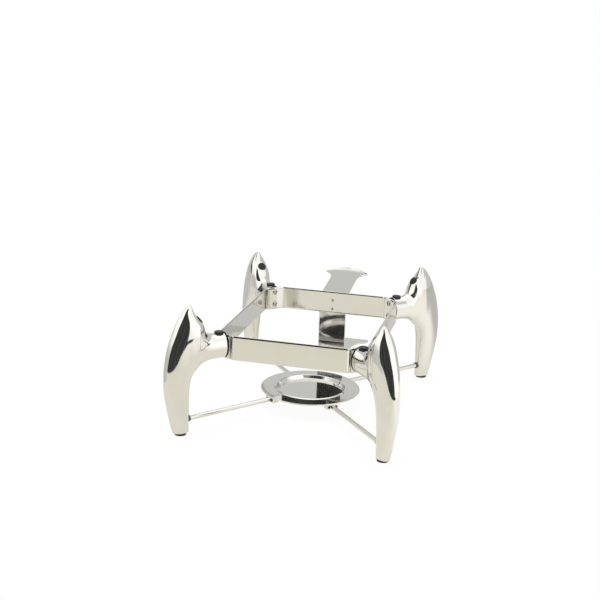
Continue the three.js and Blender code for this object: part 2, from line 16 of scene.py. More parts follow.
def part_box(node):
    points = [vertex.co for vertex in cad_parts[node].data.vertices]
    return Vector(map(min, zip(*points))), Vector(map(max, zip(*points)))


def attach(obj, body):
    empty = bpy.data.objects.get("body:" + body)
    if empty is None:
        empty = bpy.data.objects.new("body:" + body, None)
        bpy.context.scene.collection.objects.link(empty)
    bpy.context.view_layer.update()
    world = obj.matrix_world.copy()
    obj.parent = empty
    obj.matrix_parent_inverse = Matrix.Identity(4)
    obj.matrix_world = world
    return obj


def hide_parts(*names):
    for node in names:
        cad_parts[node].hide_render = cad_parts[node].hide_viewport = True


bl_info = {
    "name": "Chafing dish frame",
    "version": (1, 0, 0),
    "blender": (4, 5, 0),
    "location": "3D View > Sidebar > Chafing frame",
    "description": "Builds a polished buffet stand round its packed frame",
    "category": "Add Mesh",
}

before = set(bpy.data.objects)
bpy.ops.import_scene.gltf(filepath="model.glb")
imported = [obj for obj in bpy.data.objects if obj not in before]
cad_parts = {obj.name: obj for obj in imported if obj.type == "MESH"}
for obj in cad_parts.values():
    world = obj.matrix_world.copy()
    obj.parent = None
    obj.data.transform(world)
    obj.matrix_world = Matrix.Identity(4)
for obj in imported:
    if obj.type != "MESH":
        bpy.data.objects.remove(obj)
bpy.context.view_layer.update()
DISH_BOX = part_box("fuel_dish")
# The pieces are drawn round the dish's centre and then moved to where the frame has it.
CENTRE = Matrix.Translation((0, (DISH_BOX[0].y + DISH_BOX[1].y) / 2, 0))

MM = 0.001
# Clearance between pieces that lie against each other. Metres.
GAP = 0.0003
CORNERS = {"front_left": (-1, -1), "front_right": (1, -1), "rear_left": (-1, 1), "rear_right": (1, 1)}

# Leg body: height, outer edge, inner edge, half thickness, fullness towards the inner side, and
# bluntness of both ends. Millimetres.
BODY = (
    (5, -19.5, 15.5, 12.4, 0.05, 0),
    (18, -23.4, 15.4, 13.2, 0.08, 0),
    (40, -28.4, 15.2, 14.4, 0.12, 0),
    (65, -33.8, 15.3, 16.3, 0.16, 0),
    (90, -37.7, 15.5, 18.8, 0.2, 0.02),
    (115, -39.1, 18.6, 20.4, 0.22, 0.06),
    (140, -38, 26.9, 21.3, 0.25, 0.12),
    (165, -34.2, 33.2, 21.7, 0.28, 0.19),
    (190, -27.7, 38.2, 22.2, 0.28, 0.21),
    (210, -20, 42.2, 22.1, 0.26, 0.19),
    (225, -13.7, 39.6, 20, 0.24, 0.19),
    (238, -6.6, 31.4, 16.2, 0.22, 0.21),
    (248, -0.2, 25.5, 11.5, 0.19, 0.25),
    (256, 6.3, 22.2, 7.2, 0.14, 0.29),
    (261.5, 13.1, 20.4, 3.9, 0.05, 0.25),
    (264, 17.4, 19.3, 1, 0, 0.1),
)

# Leg arm: distance inward from the leg axis, top, underside, half width. Millimetres.
ARM = (
    (20, 214, 128, 18),
    (28, 226, 130.5, 20.5),
    (36, 228.5, 136.5, 20.6),
    (41, 222.8, 140, 20.4),
    (46, 212.6, 143, 20.2),
    (52, 205, 145.4, 20),
    (60, 201.2, 147, 20),
    (70, 200, 147.5, 20),
    (93, 200, 147.5, 20),
)

# More sizes of both, in millimetres.
SOLE, TIP = BODY[0][0], BODY[-1][0]
TIP_ROUND = 3.5  # height of the rounding at the tip
SHOWN_TIP = 263.9  # height of the shown tip
SKIN_INSET = 0.4  # depth of the shown skin under the forms
ARM_START, ARM_REACH = ARM[0][0], ARM[-1][0]
ARM_ROOT = 12  # length of the arm's rounded root inside the horn
END_ROUND, END_TUCK = 1.3, 0.9  # length and depth of the rounding at the arm's end

# White card at the left, and tent wall at the right and over the object: places of both edges, which
# a smooth line joins. Metres.
LEFT_CARD = (
    ((-0.40, -0.60, 0.002), (-0.80, 0.20, 0.002)),
    ((-0.40, -0.60, 1.1), (-0.80, 0.20, 1.1)),
)
TENT = (
    ((0.53, -1.06, 0.002), (0.47, -1.00, 0.50), (0.15, -0.75, 0.75), (-0.10, -0.60, 1.00),
     (-0.70, -0.50, 1.25)),
    ((1.10, -0.10, 0.002), (1.10, 0.00, 0.60), (0.90, 0.20, 1.10), (0.30, 0.40, 1.40),
     (-0.70, 0.40, 1.50)),
)


# Sizes and finishes

def number(name, default, description, **more):
    """A number property."""
    return FloatProperty(name=name, description=description, default=default, **more)


def length(name, default, description):
    """A length property in metres."""
    return number(name, default, description, unit="LENGTH", precision=5)


def tint(name, default, description):
    """A colour property."""
    return FloatVectorProperty(
        name=name, description=description, default=default, size=3, subtype="COLOR", min=0, max=1)


class LegSizes(bpy.types.PropertyGroup):
    """Sizes of the four legs and of what sits on them."""

    across: length("Half width", 0.202, "Distance of a leg's axis from the middle, along the front strap")
    deep: length("Half depth", 0.249, "Distance of a leg's axis from the middle, from front to rear")
    arm_end: length("Arm end", 0.091, "Distance from the leg's axis to the end of its arm")
    arm_top: length("Arm top", 0.200, "Height of the arm's top over the table")
    fillet: length("Fillet", 0.013, "Softness of the join of arm and horn")
    skin: length("Skin facet", 0.0016, "Edge length of the mesh of the polished skin")
    pad_radius: length("Pad radius", 0.0095, "Radius of the round rubber pads")
    pad_rise: length("Pad rise", 0.0032, "Height of a pad over the metal")
    arm_pad_in: length("Arm pad place", 0.0805, "Distance of the arm pad from the leg's axis")
    horn_pad_z: length("Horn pad height", 0.231, "Height of the pad on the horn over the table")
    foot_radius: length("Foot radius", 0.012, "Radius of the rubber foot")


class StrapSizes(bpy.types.PropertyGroup):
    """Sizes of the four straps and their screws."""

    top: length("Top", 0.197, "Height of a strap's top edge over the table")
    height: length("Height", 0.050, "Height of the flat bar")
    thick: length("Thickness", 0.003, "Thickness of the flat bar")
    long_y: length("Long strap", 0.1947, "Distance of the long straps' middle plane from the middle")
    side_x: length("Side strap", 0.1495, "Distance of the side straps' middle plane from the middle")
    bend: length("Bend radius", 0.009, "Radius of the bend to the tab")
    tab: length("Tab", 0.017, "Reach of a tab past its screws")
    edge: length("Edge", 0.0034, "Depth of the rounding that polishing left on the long edges")
    gasket: length("Gasket", 0.0024, "Thickness of the dark gasket")
    head_radius: length("Screw head radius", 0.006, "Radius of the corner screws' heads")
    head_high: length("Screw head height", 0.0036, "Height of the corner screws' heads")
    screw_low: length("Lower screw", 0.159, "Height of the lower screws over the table")
    screw_high: length("Upper screw", 0.187, "Height of the upper screws over the table")


class DishSizes(bpy.types.PropertyGroup):
    """Sizes of the fuel dish, its rods and lugs."""

    radius: length("Radius", 0.1055, "Outer radius of the flange")
    top: length("Flange height", 0.037, "Height of the flange over the table")
    sheet: length("Sheet", 0.0018, "Thickness of the sheet")
    fall: length("Flange fall", 0.0006, "Fall of the flange from the bead to its rim")
    recess: length("Recess radius", 0.0735, "Radius of the bead round the recess")
    floor_radius: length("Floor radius", 0.0685, "Radius of the recess's flat floor")
    floor: length("Floor height", 0.030, "Height of the recess's floor over the table")
    rod: length("Rod radius", 0.0048, "Radius of the four rods")
    rod_z: length("Rod height", 0.030, "Height of the rods over the table")
    lug_width: length("Lug width", 0.025, "Width of a lug")
    lug_face: length("Lug face", 0.107, "Distance of the lug's outer face from the middle")


class HolderSizes(bpy.types.PropertyGroup):
    """Sizes of the lid holder."""

    half: length("Half width", 0.031, "Half width of the strip")
    thick: length("Thickness", 0.003, "Thickness of the strip")
    arm_z: length("Arm height", 0.184, "Height of the strip's upper bend over the table")
    head_half: length("Head half width", 0.050, "Half width of the curved head")
    head_y: length("Head end", 0.368, "Distance of the head's far end from the middle")
    head_z: length("Head height", 0.208, "Height of the head's far end over the table")
    neck_start: length("Neck start", 0.305, "Distance from the middle where the strip starts to widen")
    neck_end: length("Neck end", 0.342, "Distance of the head's side tips from the middle")
    bow: length("Bow", 0.022, "Reach of the head's curved edge past its side tips")
    turn_up: length("Turned rim", 0.0024, "Rise of the head's curved rim over its plane")
    roll: length("Rolled edge", 0.0022, "Radius of the head's rolled edge")
    ledge_half: length("Ledge half width", 0.060, "Half width of the lower ledge")
    ledge_y: length("Ledge end", 0.346, "Distance of the ledge's far edge from the middle")
    ledge_z: length("Ledge height", 0.0405, "Height of the ledge over the table")
    flare_start: length("Flare start", 0.290, "Distance from the middle where the ledge starts to widen")
    flare_end: length("Flare end", 0.330, "Distance from the middle where the ledge is widest")
    lean: length("Lean", 0.0020, "Reach of the strip's foot behind its riveted part")
    foot_top: length("Foot top", 0.078, "Height over the table where the strip turns upright")
    rivet_low: length("Lower rivet", 0.1565, "Height of the lower rivet over the table")
    rivet_high: length("Upper rivet", 0.177, "Height of the upper rivet over the table")


class Finishes(bpy.types.PropertyGroup):
    """Colours of the metal and the rubber."""

    steel: tint("Polished steel", (0.70, 0.69, 0.665), "Reflection colour of the polished steel")
    plain: tint("Plain steel", (0.44, 0.43, 0.41), "Reflection colour of screws and rivets")
    rubber: tint("Rubber", (0.012, 0.012, 0.013), "Colour of pads, feet and gaskets")
    # Dark brownish grey, paler than the rubber, for the rings where the rods enter the legs.
    grommet: tint("Grommet", (0.11, 0.10, 0.08), "Colour of the brownish grommets round the rods")
    dark: tint("Dark screw", (0.03, 0.03, 0.032), "Colour of the small lug screws")


class StageSettings(bpy.types.PropertyGroup):
    """Camera, floor and light."""

    lens: number("Lens", 69.14, "Focal length of the camera", unit="CAMERA")
    azimuth: number("Azimuth", 13.49, "Turn of the camera to the right, degrees")
    pitch: number("Pitch", 15.98, "Tilt of the camera downwards, degrees")
    roll: number("Roll", 2.01, "Roll of the camera, degrees")
    place: FloatVectorProperty(
        name="Place", description="Place of the camera, from the dish's centre",
        default=(0.5125, -2.2589, 0.8920), size=3, unit="LENGTH")
    table_front: length("Table front", -0.82, "Place of the table's front edge")
    table_reach: length("Table reach", 4.0, "Distance of the table's other edges from the middle")
    floor: tint("Floor", (0.95, 0.945, 0.93), "Colour of the table top")
    card: number("Cards", 1.45, "Brightness of the white cards in the metal", min=0)
    ambient: number("Ambient", 0.70, "Light of the room", min=0)
    lamp: number("Lamp", 34.0, "Power of the soft box overhead", unit="POWER")


# Small helpers

def eased(stations, at, column):
    """Value of one column of a station table at the places in at, smooth up to its curvature."""
    table = np.array(stations, float)
    x, y = table[:, 0], table[:, column]
    at = np.clip(np.asarray(at, float), x[0], x[-1])
    h = np.diff(x)
    rows, target = np.eye(len(x)), np.zeros(len(x))
    for k in range(1, len(x) - 1):
        rows[k, k - 1:k + 2] = h[k - 1], 2 * (h[k - 1] + h[k]), h[k]
        target[k] = 6 * ((y[k + 1] - y[k]) / h[k] - (y[k] - y[k - 1]) / h[k - 1])
    bend = np.linalg.solve(rows, target)
    i = np.clip(np.searchsorted(x, at, side="right") - 1, 0, len(x) - 2)
    t = (at - x[i]) / h[i]
    r = 1 - t
    return r * y[i] + t * y[i + 1] + ((r ** 3 - r) * bend[i] + (t ** 3 - t) * bend[i + 1]) * h[i] ** 2 / 6


def mesh_from(name, points, faces):
    """A mesh of points and faces with smooth shading."""
    mesh = bpy.data.meshes.new(name)
    mesh.from_pydata([tuple(p) for p in points], [], faces)
    mesh.validate()
    mesh.update()
    mesh.polygons.foreach_set("use_smooth", [True] * len(mesh.polygons))
    return mesh


def face_out(bm):
    """Turns all faces of a closed body outward."""
    bmesh.ops.recalc_face_normals(bm, faces=bm.faces)
    if bm.calc_volume(signed=True) < 0:
        bmesh.ops.reverse_faces(bm, faces=bm.faces)


def outward(mesh):
    """Turns all faces of a closed mesh outward."""
    bm = bmesh.new()
    bm.from_mesh(mesh)
    face_out(bm)
    bm.to_mesh(mesh)
    bm.free()
    return mesh


def applied(obj):
    """The mesh of an object with its modifiers applied. The object and its own mesh are removed."""
    seen = obj.evaluated_get(bpy.context.evaluated_depsgraph_get())
    mesh = bpy.data.meshes.new_from_object(seen)
    bpy.data.meshes.remove(obj.data)
    return mesh


def linked(name, data):
    """A new object in the scene."""
    obj = bpy.data.objects.new(name, data)
    bpy.context.scene.collection.objects.link(obj)
    return obj


def piece(name, mesh, look, nodes, matrix=None):
    """A shown piece that rides on the frame and stands for CAD nodes. Its place goes into its mesh."""
    mesh = mesh.copy()
    mesh.transform(CENTRE @ (matrix or Matrix()))
    mesh.name = name
    mesh.materials.clear()
    mesh.materials.append(material_of(look))
    obj = linked(name, mesh)
    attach(obj, "root")
    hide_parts(*nodes)
    return obj


def corner_matrix(sx, sy):
    """Place of a leg: X points inward from the leg's axis, at 45 degrees to the straps."""
    sizes = bpy.context.scene.leg_sizes
    turn = Matrix.Rotation(math.atan2(-sy, -sx), 4, "Z")
    return Matrix.Translation((sx * sizes.across, sy * sizes.deep, 0)) @ turn


def rod_matrix(sx, sy):
    """Place of a rod: X points from the dish's centre to the leg's axis."""
    sizes = bpy.context.scene.leg_sizes
    return Matrix.Rotation(math.atan2(sy * sizes.deep, sx * sizes.across), 4, "Z")


def at_corners(stem, ending, mesh, look, node, place=corner_matrix):
    """The same piece at all four corners, each for its own CAD node."""
    for corner, signs in CORNERS.items():
        piece(f"{stem}_{corner}_{ending}", mesh, look, [f"{node}_{corner}"], place(*signs))


def facing(x, y, z):
    """Turn that lays the Z axis along a direction."""
    return Vector((0, 0, 1)).rotation_difference(Vector((x, y, z))).to_matrix().to_4x4()


def lying(mesh, x, y, z):
    """Lays a body turned about Z along X at a place."""
    mesh.transform(Matrix.Translation((x, y, z)) @ facing(1, 0, 0))
    return mesh


def rounded(points, radii, steps, support):
    """A polyline whose inner corners have fillets, with a support point before and after each."""
    points = [Vector(p) for p in points]
    line = [points[0]]
    for before, here, after, radius in zip(points, points[1:], points[2:], radii[1:-1]):
        if radius <= 0:
            line.append(here)
            continue
        a, b = (before - here).normalized(), (after - here).normalized()
        half = a.angle(b) / 2
        trim = min(radius / math.tan(half), (before - here).length * 0.49, (after - here).length * 0.49)
        radius = trim * math.tan(half)
        hub = here + (a + b).normalized() * (radius / math.sin(half))
        start, end = here + a * trim, here + b * trim
        if (before - start).length > 3 * support:
            line.append(start + a * support)
        first, last = start - hub, end - hub
        sweep = first.angle_signed(last) if len(first) == 2 else first.angle(last)
        for k in range(steps + 1):
            spin = Matrix.Rotation(-sweep * k / steps, 2)
            line.append(hub + spin @ first)
        if (after - end).length > 3 * support:
            line.append(end + b * support)
    line.append(points[-1])
    return line


def turned(name, corners, count, matrix=None, steps=7, support=0.00012):
    """A closed body turned about Z. A corner of its profile has a radius, a height and the radius that
    rounds it, and the profile starts and ends on the axis."""
    points, rows = [], []
    places, radii = [corner[:2] for corner in corners], [corner[2] for corner in corners]
    for r, h in rounded(places, radii, steps, support):
        if r < 1e-7:
            rows.append([len(points)])
            points.append((0, 0, h))
        else:
            rows.append(list(range(len(points), len(points) + count)))
            for k in range(count):
                a = 2 * math.pi * k / count
                points.append((r * math.cos(a), r * math.sin(a), h))
    faces = []
    for low, high in zip(rows, rows[1:]):
        for k in range(count):
            n = (k + 1) % count
            if len(low) == 1 and len(high) == 1:
                continue
            if len(low) == 1:
                faces.append((low[0], high[k], high[n]))
            elif len(high) == 1:
                faces.append((low[k], low[n], high[0]))
            else:
                faces.append((low[k], low[n], high[n], high[k]))
    mesh = outward(mesh_from(name, points, faces))
    if matrix is not None:
        mesh.transform(matrix)
    return mesh


def swept(name, rings, cap=None, closed=False):
    """A closed body through rings of points. Both ends are capped, with the faces in cap if given, or
    they meet if closed is true."""
    count = len(rings[0])
    points = [p for ring in rings for p in ring]
    faces = []
    for i in range(len(rings) if closed else len(rings) - 1):
        j = (i + 1) % len(rings)
        for k in range(count):
            n = (k + 1) % count
            faces.append((i * count + k, i * count + n, j * count + n, j * count + k))
    last = (len(rings) - 1) * count
    for face in () if closed else cap or [tuple(range(count))]:
        faces.append(face[::-1])
        faces.append(tuple(last + k for k in face))
    return outward(mesh_from(name, points, faces))


# Shader node groups and materials

def effect_group(name, outputs):
    """A shader node group with a Scale input and number outputs. Gives its tree, the scaled place and
    the node that takes the outputs."""
    tree = bpy.data.node_groups.new(name, "ShaderNodeTree")
    tree.interface.new_socket(name="Scale", in_out="INPUT", socket_type="NodeSocketFloat").default_value = 1.0
    for label in outputs:
        tree.interface.new_socket(name=label, in_out="OUTPUT", socket_type="NodeSocketFloat")
    given, out = tree.nodes.new("NodeGroupInput"), tree.nodes.new("NodeGroupOutput")
    place = tree.nodes.new("ShaderNodeTexCoord")
    scaled = wired(tree, "ShaderNodeVectorMath", {"operation": "SCALE"}, Scale=given.outputs["Scale"])
    tree.links.new(place.outputs["Object"], scaled.inputs[0])
    return tree, scaled.outputs[0], out


def wired(tree, kind, values=None, **links):
    """A node with values and links. A value goes to the input of its name, or else to the setting of
    its name. A link goes to the input whose name has a space for each _."""
    node = tree.nodes.new(kind)
    for key, value in (values or {}).items():
        if key in node.inputs:
            node.inputs[key].default_value = value
        else:
            setattr(node, key, value)
    for key, source in links.items():
        tree.links.new(source, node.inputs[key.replace("_", " ")])
    return node


def maths(tree, operation, a, b=None):
    """A Math node. Numbers go on its sockets, outputs are linked."""
    node = tree.nodes.new("ShaderNodeMath")
    node.operation = operation
    for socket, value in zip(node.inputs, (a, b)):
        if value is None:
            continue
        if isinstance(value, (int, float)):
            socket.default_value = value
        else:
            tree.links.new(value, socket)
    return node.outputs[0]


def product(tree, first, *others):
    """Product of several values."""
    for other in others:
        first = maths(tree, "MULTIPLY", first, other)
    return first


def between(tree, factor, first, last):
    """Value that runs from first to last with the factor."""
    start = product(tree, first, maths(tree, "SUBTRACT", 1.0, factor))
    return maths(tree, "ADD", start, product(tree, factor, last))


def ramp(tree, value, low, high, first=0.0, last=1.0, curve="SMOOTHSTEP"):
    """A step of a value from first at low to last at high, soft unless the curve is LINEAR."""
    node = wired(tree, "ShaderNodeMapRange",
                 {"From Min": low, "From Max": high, "To Min": first, "To Max": last,
                  "interpolation_type": curve}, Value=value)
    return node.outputs["Result"]


def blend(tree, factor, first, second):
    """Mix of two colours. A colour is three numbers or an output."""
    node = wired(tree, "ShaderNodeMix", {"data_type": "RGBA"})
    tree.links.new(factor, node.inputs[0])
    for socket, colour in ((node.inputs[6], first), (node.inputs[7], second)):
        if isinstance(colour, tuple):
            socket.default_value = (*colour, 1)
        else:
            tree.links.new(colour, socket)
    return node.outputs[2]


def noise(tree, place, scale, detail, **values):
    """Value of a noise texture at a place."""
    node = wired(tree, "ShaderNodeTexNoise", {"Scale": scale, "Detail": detail, **values}, Vector=place)
    return node.outputs["Fac"]


def polish_group():
    """Traces of polishing: a faint haze, fine wipe marks and shallow waves."""
    tree, place, out = effect_group("Polish traces", ("Haze", "Wipes", "Waves"))
    stretch = wired(tree, "ShaderNodeMapping", {"Scale": (1.0, 1.0, 9.0)}, Vector=place)
    tree.links.new(noise(tree, place, 26.0, 4.0, Roughness=0.6), out.inputs["Haze"])
    tree.links.new(noise(tree, stretch.outputs[0], 160.0, 3.0, Roughness=0.7), out.inputs["Wipes"])
    tree.links.new(noise(tree, place, 9.0, 1.0, Roughness=0.4), out.inputs["Waves"])
    return tree


def rubber_group():
    """Moulded rubber: fine grain and pale dust."""
    tree, place, out = effect_group("Rubber grain", ("Grain", "Dust"))
    dust = noise(tree, place, 240.0, 5.0, Roughness=0.65)
    tree.links.new(noise(tree, place, 1800.0, 2.0), out.inputs["Grain"])
    tree.links.new(ramp(tree, dust, 0.5, 0.75, curve="LINEAR"), out.inputs["Dust"])
    return tree


def shader(name):
    """A material with its Principled shader."""
    material = bpy.data.materials.new(name)
    material.use_nodes = True
    return material, material.node_tree, material.node_tree.nodes["Principled BSDF"]


def placed(tree, effect, scale):
    """An effect group placed in a material."""
    node = tree.nodes.new("ShaderNodeGroup")
    node.node_tree = effect
    node.inputs["Scale"].default_value = scale
    return node


def dress(tree, surface, colour, roughness, height, strength, distance):
    """Links a finish's colour, roughness and relief to its shader."""
    tree.links.new(colour, surface.inputs["Base Color"])
    tree.links.new(roughness, surface.inputs["Roughness"])
    bump = wired(tree, "ShaderNodeBump", {"Strength": strength, "Distance": distance}, Height=height)
    tree.links.new(bump.outputs["Normal"], surface.inputs["Normal"])


def metal(name, effect, colour, dull, low, high, waves, wipes, scale=1.0):
    """Metal with polish traces. With the haze its roughness rises from low to high and its colour falls
    to the share dull. Waves and wipes are the depths of its relief."""
    material, tree, surface = shader(name)
    surface.inputs["Metallic"].default_value = 1.0
    traces = placed(tree, effect, scale)
    haze = traces.outputs["Haze"]
    shade = blend(tree, haze, tuple(colour), tuple(c * dull for c in colour))
    height = maths(tree, "ADD", product(tree, traces.outputs["Waves"], waves),
                   product(tree, traces.outputs["Wipes"], wipes))
    dress(tree, surface, shade, ramp(tree, haze, 0.35, 0.75, low, high, "LINEAR"), height, 1.0, 0.001)
    return material


def moulded(name, effect, colour, roughness):
    """Rubber or blackened steel with grain and paler, rougher dust."""
    material, tree, surface = shader(name)
    surface.inputs["Specular IOR Level"].default_value = 0.3
    traces = placed(tree, effect, 1.0)
    dust = traces.outputs["Dust"]
    shade = blend(tree, dust, tuple(colour), tuple(c * 1.5 + 0.006 for c in colour))
    rough = ramp(tree, dust, 0.0, 1.0, roughness - 0.08, roughness + 0.15, "LINEAR")
    dress(tree, surface, shade, rough, traces.outputs["Grain"], 0.5, 0.0001)
    return material


LOOKS = {}


def make_materials():
    """Builds all finishes."""
    colours = bpy.context.scene.finishes
    polish, grain = polish_group(), rubber_group()
    # Traces: share of the colour, lowest and highest roughness, waves, wipe marks, and their scale.
    for look, name, colour, traces in (
            ("leg", "Polished leg", colours.steel, (0.97, 0.035, 0.07, 0.035, 0.0015)),
            ("strap", "Polished strap", colours.steel, (0.96, 0.05, 0.10, 0.05, 0.004)),
            ("dish", "Polished dish", colours.steel, (0.97, 0.04, 0.08, 0.05, 0.002)),
            ("holder", "Polished holder", colours.steel, (0.97, 0.05, 0.10, 0.03, 0.003)),
            ("rod", "Polished rod", colours.steel, (0.95, 0.08, 0.16, 0.02, 0.004, 2.0)),
            ("plain", "Plain steel", colours.plain, (0.9, 0.10, 0.18, 0.02, 0.006, 4.0))):
        LOOKS[look] = metal(name, polish, colour, *traces)
    LOOKS["rubber"] = moulded("Black rubber", grain, colours.rubber, 0.5)
    # The grommets get a dark brownish grey, paler than the rubber.
    LOOKS["grommet"] = moulded("Brownish grommet", grain, colours.grommet, 0.5)
    LOOKS["screw"] = moulded("Dark screw", grain, colours.dark, 0.35)


def material_of(look):
    """The material of a finish. The first call builds them all."""
    if not LOOKS:
        make_materials()
    return LOOKS[look]


# Legs

def horn_form(p):
    """Form of the horn and leg: below 0 inside, 0 on the skin, above 0 outside. Millimetres."""
    z = np.clip(p[:, 2], SOLE, TIP)
    outer, inner, half, full, blunt = (eased(BODY, z, k) for k in (1, 2, 3, 4, 5))
    closing = np.clip(z - (TIP - TIP_ROUND), 0, TIP_ROUND) / TIP_ROUND
    tip = np.sqrt(np.clip(1 - closing ** 2, 1e-4, 1))
    reach = (inner - outer) / 2 * tip
    across = (p[:, 0] - (outer + inner) / 2) / reach
    share = np.clip(across, -1.2, 1.2)
    wide = half * tip * (1 + full * share + blunt * share ** 2)
    return np.sqrt(across ** 2 + (p[:, 1] / wide) ** 2) - 1


def arm_form(p):
    """Form of the arm, in the same way. Its outer end is a little rounded off."""
    end = bpy.context.scene.leg_sizes.arm_end / MM
    s = np.clip(p[:, 0], ARM_START, ARM_REACH)
    top, base, half = (eased(ARM, s, k) for k in (1, 2, 3))
    tuck = END_TUCK * np.clip((s - (end - END_ROUND)) / END_ROUND, 0, 1) ** 2
    rise = (p[:, 2] - (top + base) / 2) / ((top - base) / 2 - tuck)
    root = np.maximum(ARM_START - p[:, 0], 0) / ARM_ROOT
    return np.sqrt((p[:, 1] / (half - tuck)) ** 2 + rise ** 2 + root ** 2) - 1


def measured(form, p):
    """About the distance of points from a form's skin, and the way out of it."""
    value, slope = form(p), np.empty_like(p)
    reach = 0.02
    for axis in range(3):
        step = np.zeros(3)
        step[axis] = reach
        slope[:, axis] = (form(p + step) - form(p - step)) / (2 * reach)
    steep = np.maximum(np.linalg.norm(slope, axis=1), 1e-6)
    return value / steep, slope / steep[:, None]


def leg_form(p):
    """Distance and way out of the whole leg, with a soft fillet where the arm leaves the horn."""
    k = bpy.context.scene.leg_sizes.fillet / MM
    (d1, g1), (d2, g2) = measured(horn_form, p), measured(arm_form, p)
    h = np.clip(0.5 + 0.5 * (d2 - d1) / k, 0, 1)
    slope = g2 * (1 - h)[:, None] + g1 * h[:, None]
    slope /= np.maximum(np.linalg.norm(slope, axis=1), 1e-6)[:, None]
    return d2 * (1 - h) + d1 * h - k * h * (1 - h) + SKIN_INSET, slope


def leg_blank():
    """A rough closed body of horn and arm in one piece, from a voxel remesh of two lofts."""
    around, levels, stations = 96, 160, 60
    turn = np.linspace(0, 2 * math.pi, around, endpoint=False)[None, :]
    z = np.linspace(SOLE - 3, TIP, levels)[:, None]
    outer, inner, half, full, blunt = (eased(BODY, z, k) for k in (1, 2, 3, 4, 5))
    s = (outer + inner) / 2 + (inner - outer) / 2 * np.cos(turn)
    v = np.maximum(half, 0.9) * np.sin(turn) * (1 + full * np.cos(turn) + blunt * np.cos(turn) ** 2)
    horn = np.stack([s, v, np.broadcast_to(z, s.shape)], -1) * MM
    s = np.linspace(ARM_START, ARM_REACH + 1, stations)[:, None]
    top, base, half = (eased(ARM, s, k) for k in (1, 2, 3))
    rise = (top + base) / 2 + (top - base) / 2 * np.sin(turn)
    arm = np.stack([np.broadcast_to(s, rise.shape), half * np.cos(turn), rise], -1) * MM
    both = bmesh.new()
    for rings in (horn, arm):
        loft = swept("loft", [list(ring) for ring in rings])
        both.from_mesh(loft)
        bpy.data.meshes.remove(loft)
    rough = bpy.data.meshes.new("leg")
    both.to_mesh(rough)
    both.free()
    blank = linked("leg", rough)
    remesh = blank.modifiers.new("skin", "REMESH")
    remesh.mode = "VOXEL"
    remesh.voxel_size = bpy.context.scene.leg_sizes.skin
    return applied(blank)


def points_of(mesh):
    """Places of a mesh's points in millimetres."""
    p = np.empty(len(mesh.vertices) * 3)
    mesh.vertices.foreach_get("co", p)
    return p.reshape(-1, 3) / MM


def leg_skin():
    """The polished skin of one leg: horn and arm run into each other in a soft fillet."""
    mesh = leg_blank()
    p, count = points_of(mesh), len(mesh.vertices)
    p[:, 2] = np.minimum(p[:, 2], SHOWN_TIP)
    edges = np.empty(len(mesh.edges) * 2, int)
    mesh.edges.foreach_get("vertices", edges)
    a, b = edges.reshape(-1, 2).T
    valence = (np.bincount(a, minlength=count) + np.bincount(b, minlength=count))[:, None]
    # The blank is evened out and pulled onto the form, and at last only pulled.
    evened, rounds = 10, 14
    for turn in range(rounds):
        if turn < evened:
            around = np.zeros_like(p)
            np.add.at(around, a, p[b])
            np.add.at(around, b, p[a])
            p += (around / valence - p) * 0.6
        distance, slope = leg_form(p)
        p -= slope * np.clip(distance, -3, 3)[:, None]
    # The tip is drawn up to its height and then pulled onto the form sideways only.
    base = TIP - 6
    near = p[:, 2] > base
    top = p[near, 2].max()
    p[near, 2] = base + (p[near, 2] - base) * (SHOWN_TIP - base) / (top - base)
    for _ in range(3):
        distance, slope = leg_form(p[near])
        slope[:, 2] = 0
        flat = np.maximum(np.linalg.norm(slope, axis=1), 0.3)[:, None]
        p[near] -= slope / flat ** 2 * np.clip(distance, -1, 1)[:, None]
    mesh.vertices.foreach_set("co", (p * MM).ravel())
    mesh.update()

    # The arm's end and the sole are cut flat, just inside those of the solid.
    end, inside = bpy.context.scene.leg_sizes.arm_end, 0.00005
    bm = bmesh.new()
    bm.from_mesh(mesh)
    for place, normal in (((end - inside, 0, 0), (1, 0, 0)), ((0, 0, SOLE * MM + inside), (0, 0, -1))):
        parts = bm.verts[:] + bm.edges[:] + bm.faces[:]
        cut = bmesh.ops.bisect_plane(bm, geom=parts, plane_co=place, plane_no=normal, clear_outer=True)
        edges = [e for e in cut["geom_cut"] if isinstance(e, bmesh.types.BMEdge)]
        bmesh.ops.contextual_create(bm, geom=edges)
    face_out(bm)
    # The faces that close the cuts have many corners and stay flat.
    for face in bm.faces:
        face.smooth = len(face.verts) <= 8
    bm.to_mesh(mesh)
    bm.free()

    _, slope = leg_form(points_of(mesh))
    mesh.normals_split_custom_set_from_vertices(slope)
    return mesh


class CHAFING_OT_legs(bpy.types.Operator):
    """Build the four polished horn legs"""

    bl_idname = "chafing.legs"
    bl_label = "Legs"

    def execute(self, context):
        at_corners("leg", "skin", leg_skin(), "leg", "leg")
        return {"FINISHED"}


class CHAFING_OT_feet(bpy.types.Operator):
    """Build the rubber feet"""

    bl_idname = "chafing.feet"
    bl_label = "Feet"

    def execute(self, context):
        radius = context.scene.leg_sizes.foot_radius
        high, outward_by = 0.0048, 0.002
        corners = ((0, 0, 0), (radius, 0, 0.0009), (radius, high, 0.0005), (0, high, 0))
        mesh = turned("foot", corners, 64, Matrix.Translation((-outward_by, 0, 0)))
        at_corners("foot", "rubber", mesh, "rubber", "rubber_foot")
        return {"FINISHED"}


def pad_mesh(name, place, direction):
    """A round pad with a soft edge and a faintly domed top."""
    sizes = bpy.context.scene.leg_sizes
    r, h, sunk = sizes.pad_radius, sizes.pad_rise, 0.006
    corners = ((0, h, 0), (r * 0.55, h - 0.00008, 0.02), (r, h - 0.0007, 0.0012), (r, -sunk, 0.0004),
               (0, -sunk, 0))
    return turned(name, corners, 56, Matrix.Translation(place) @ facing(*direction))


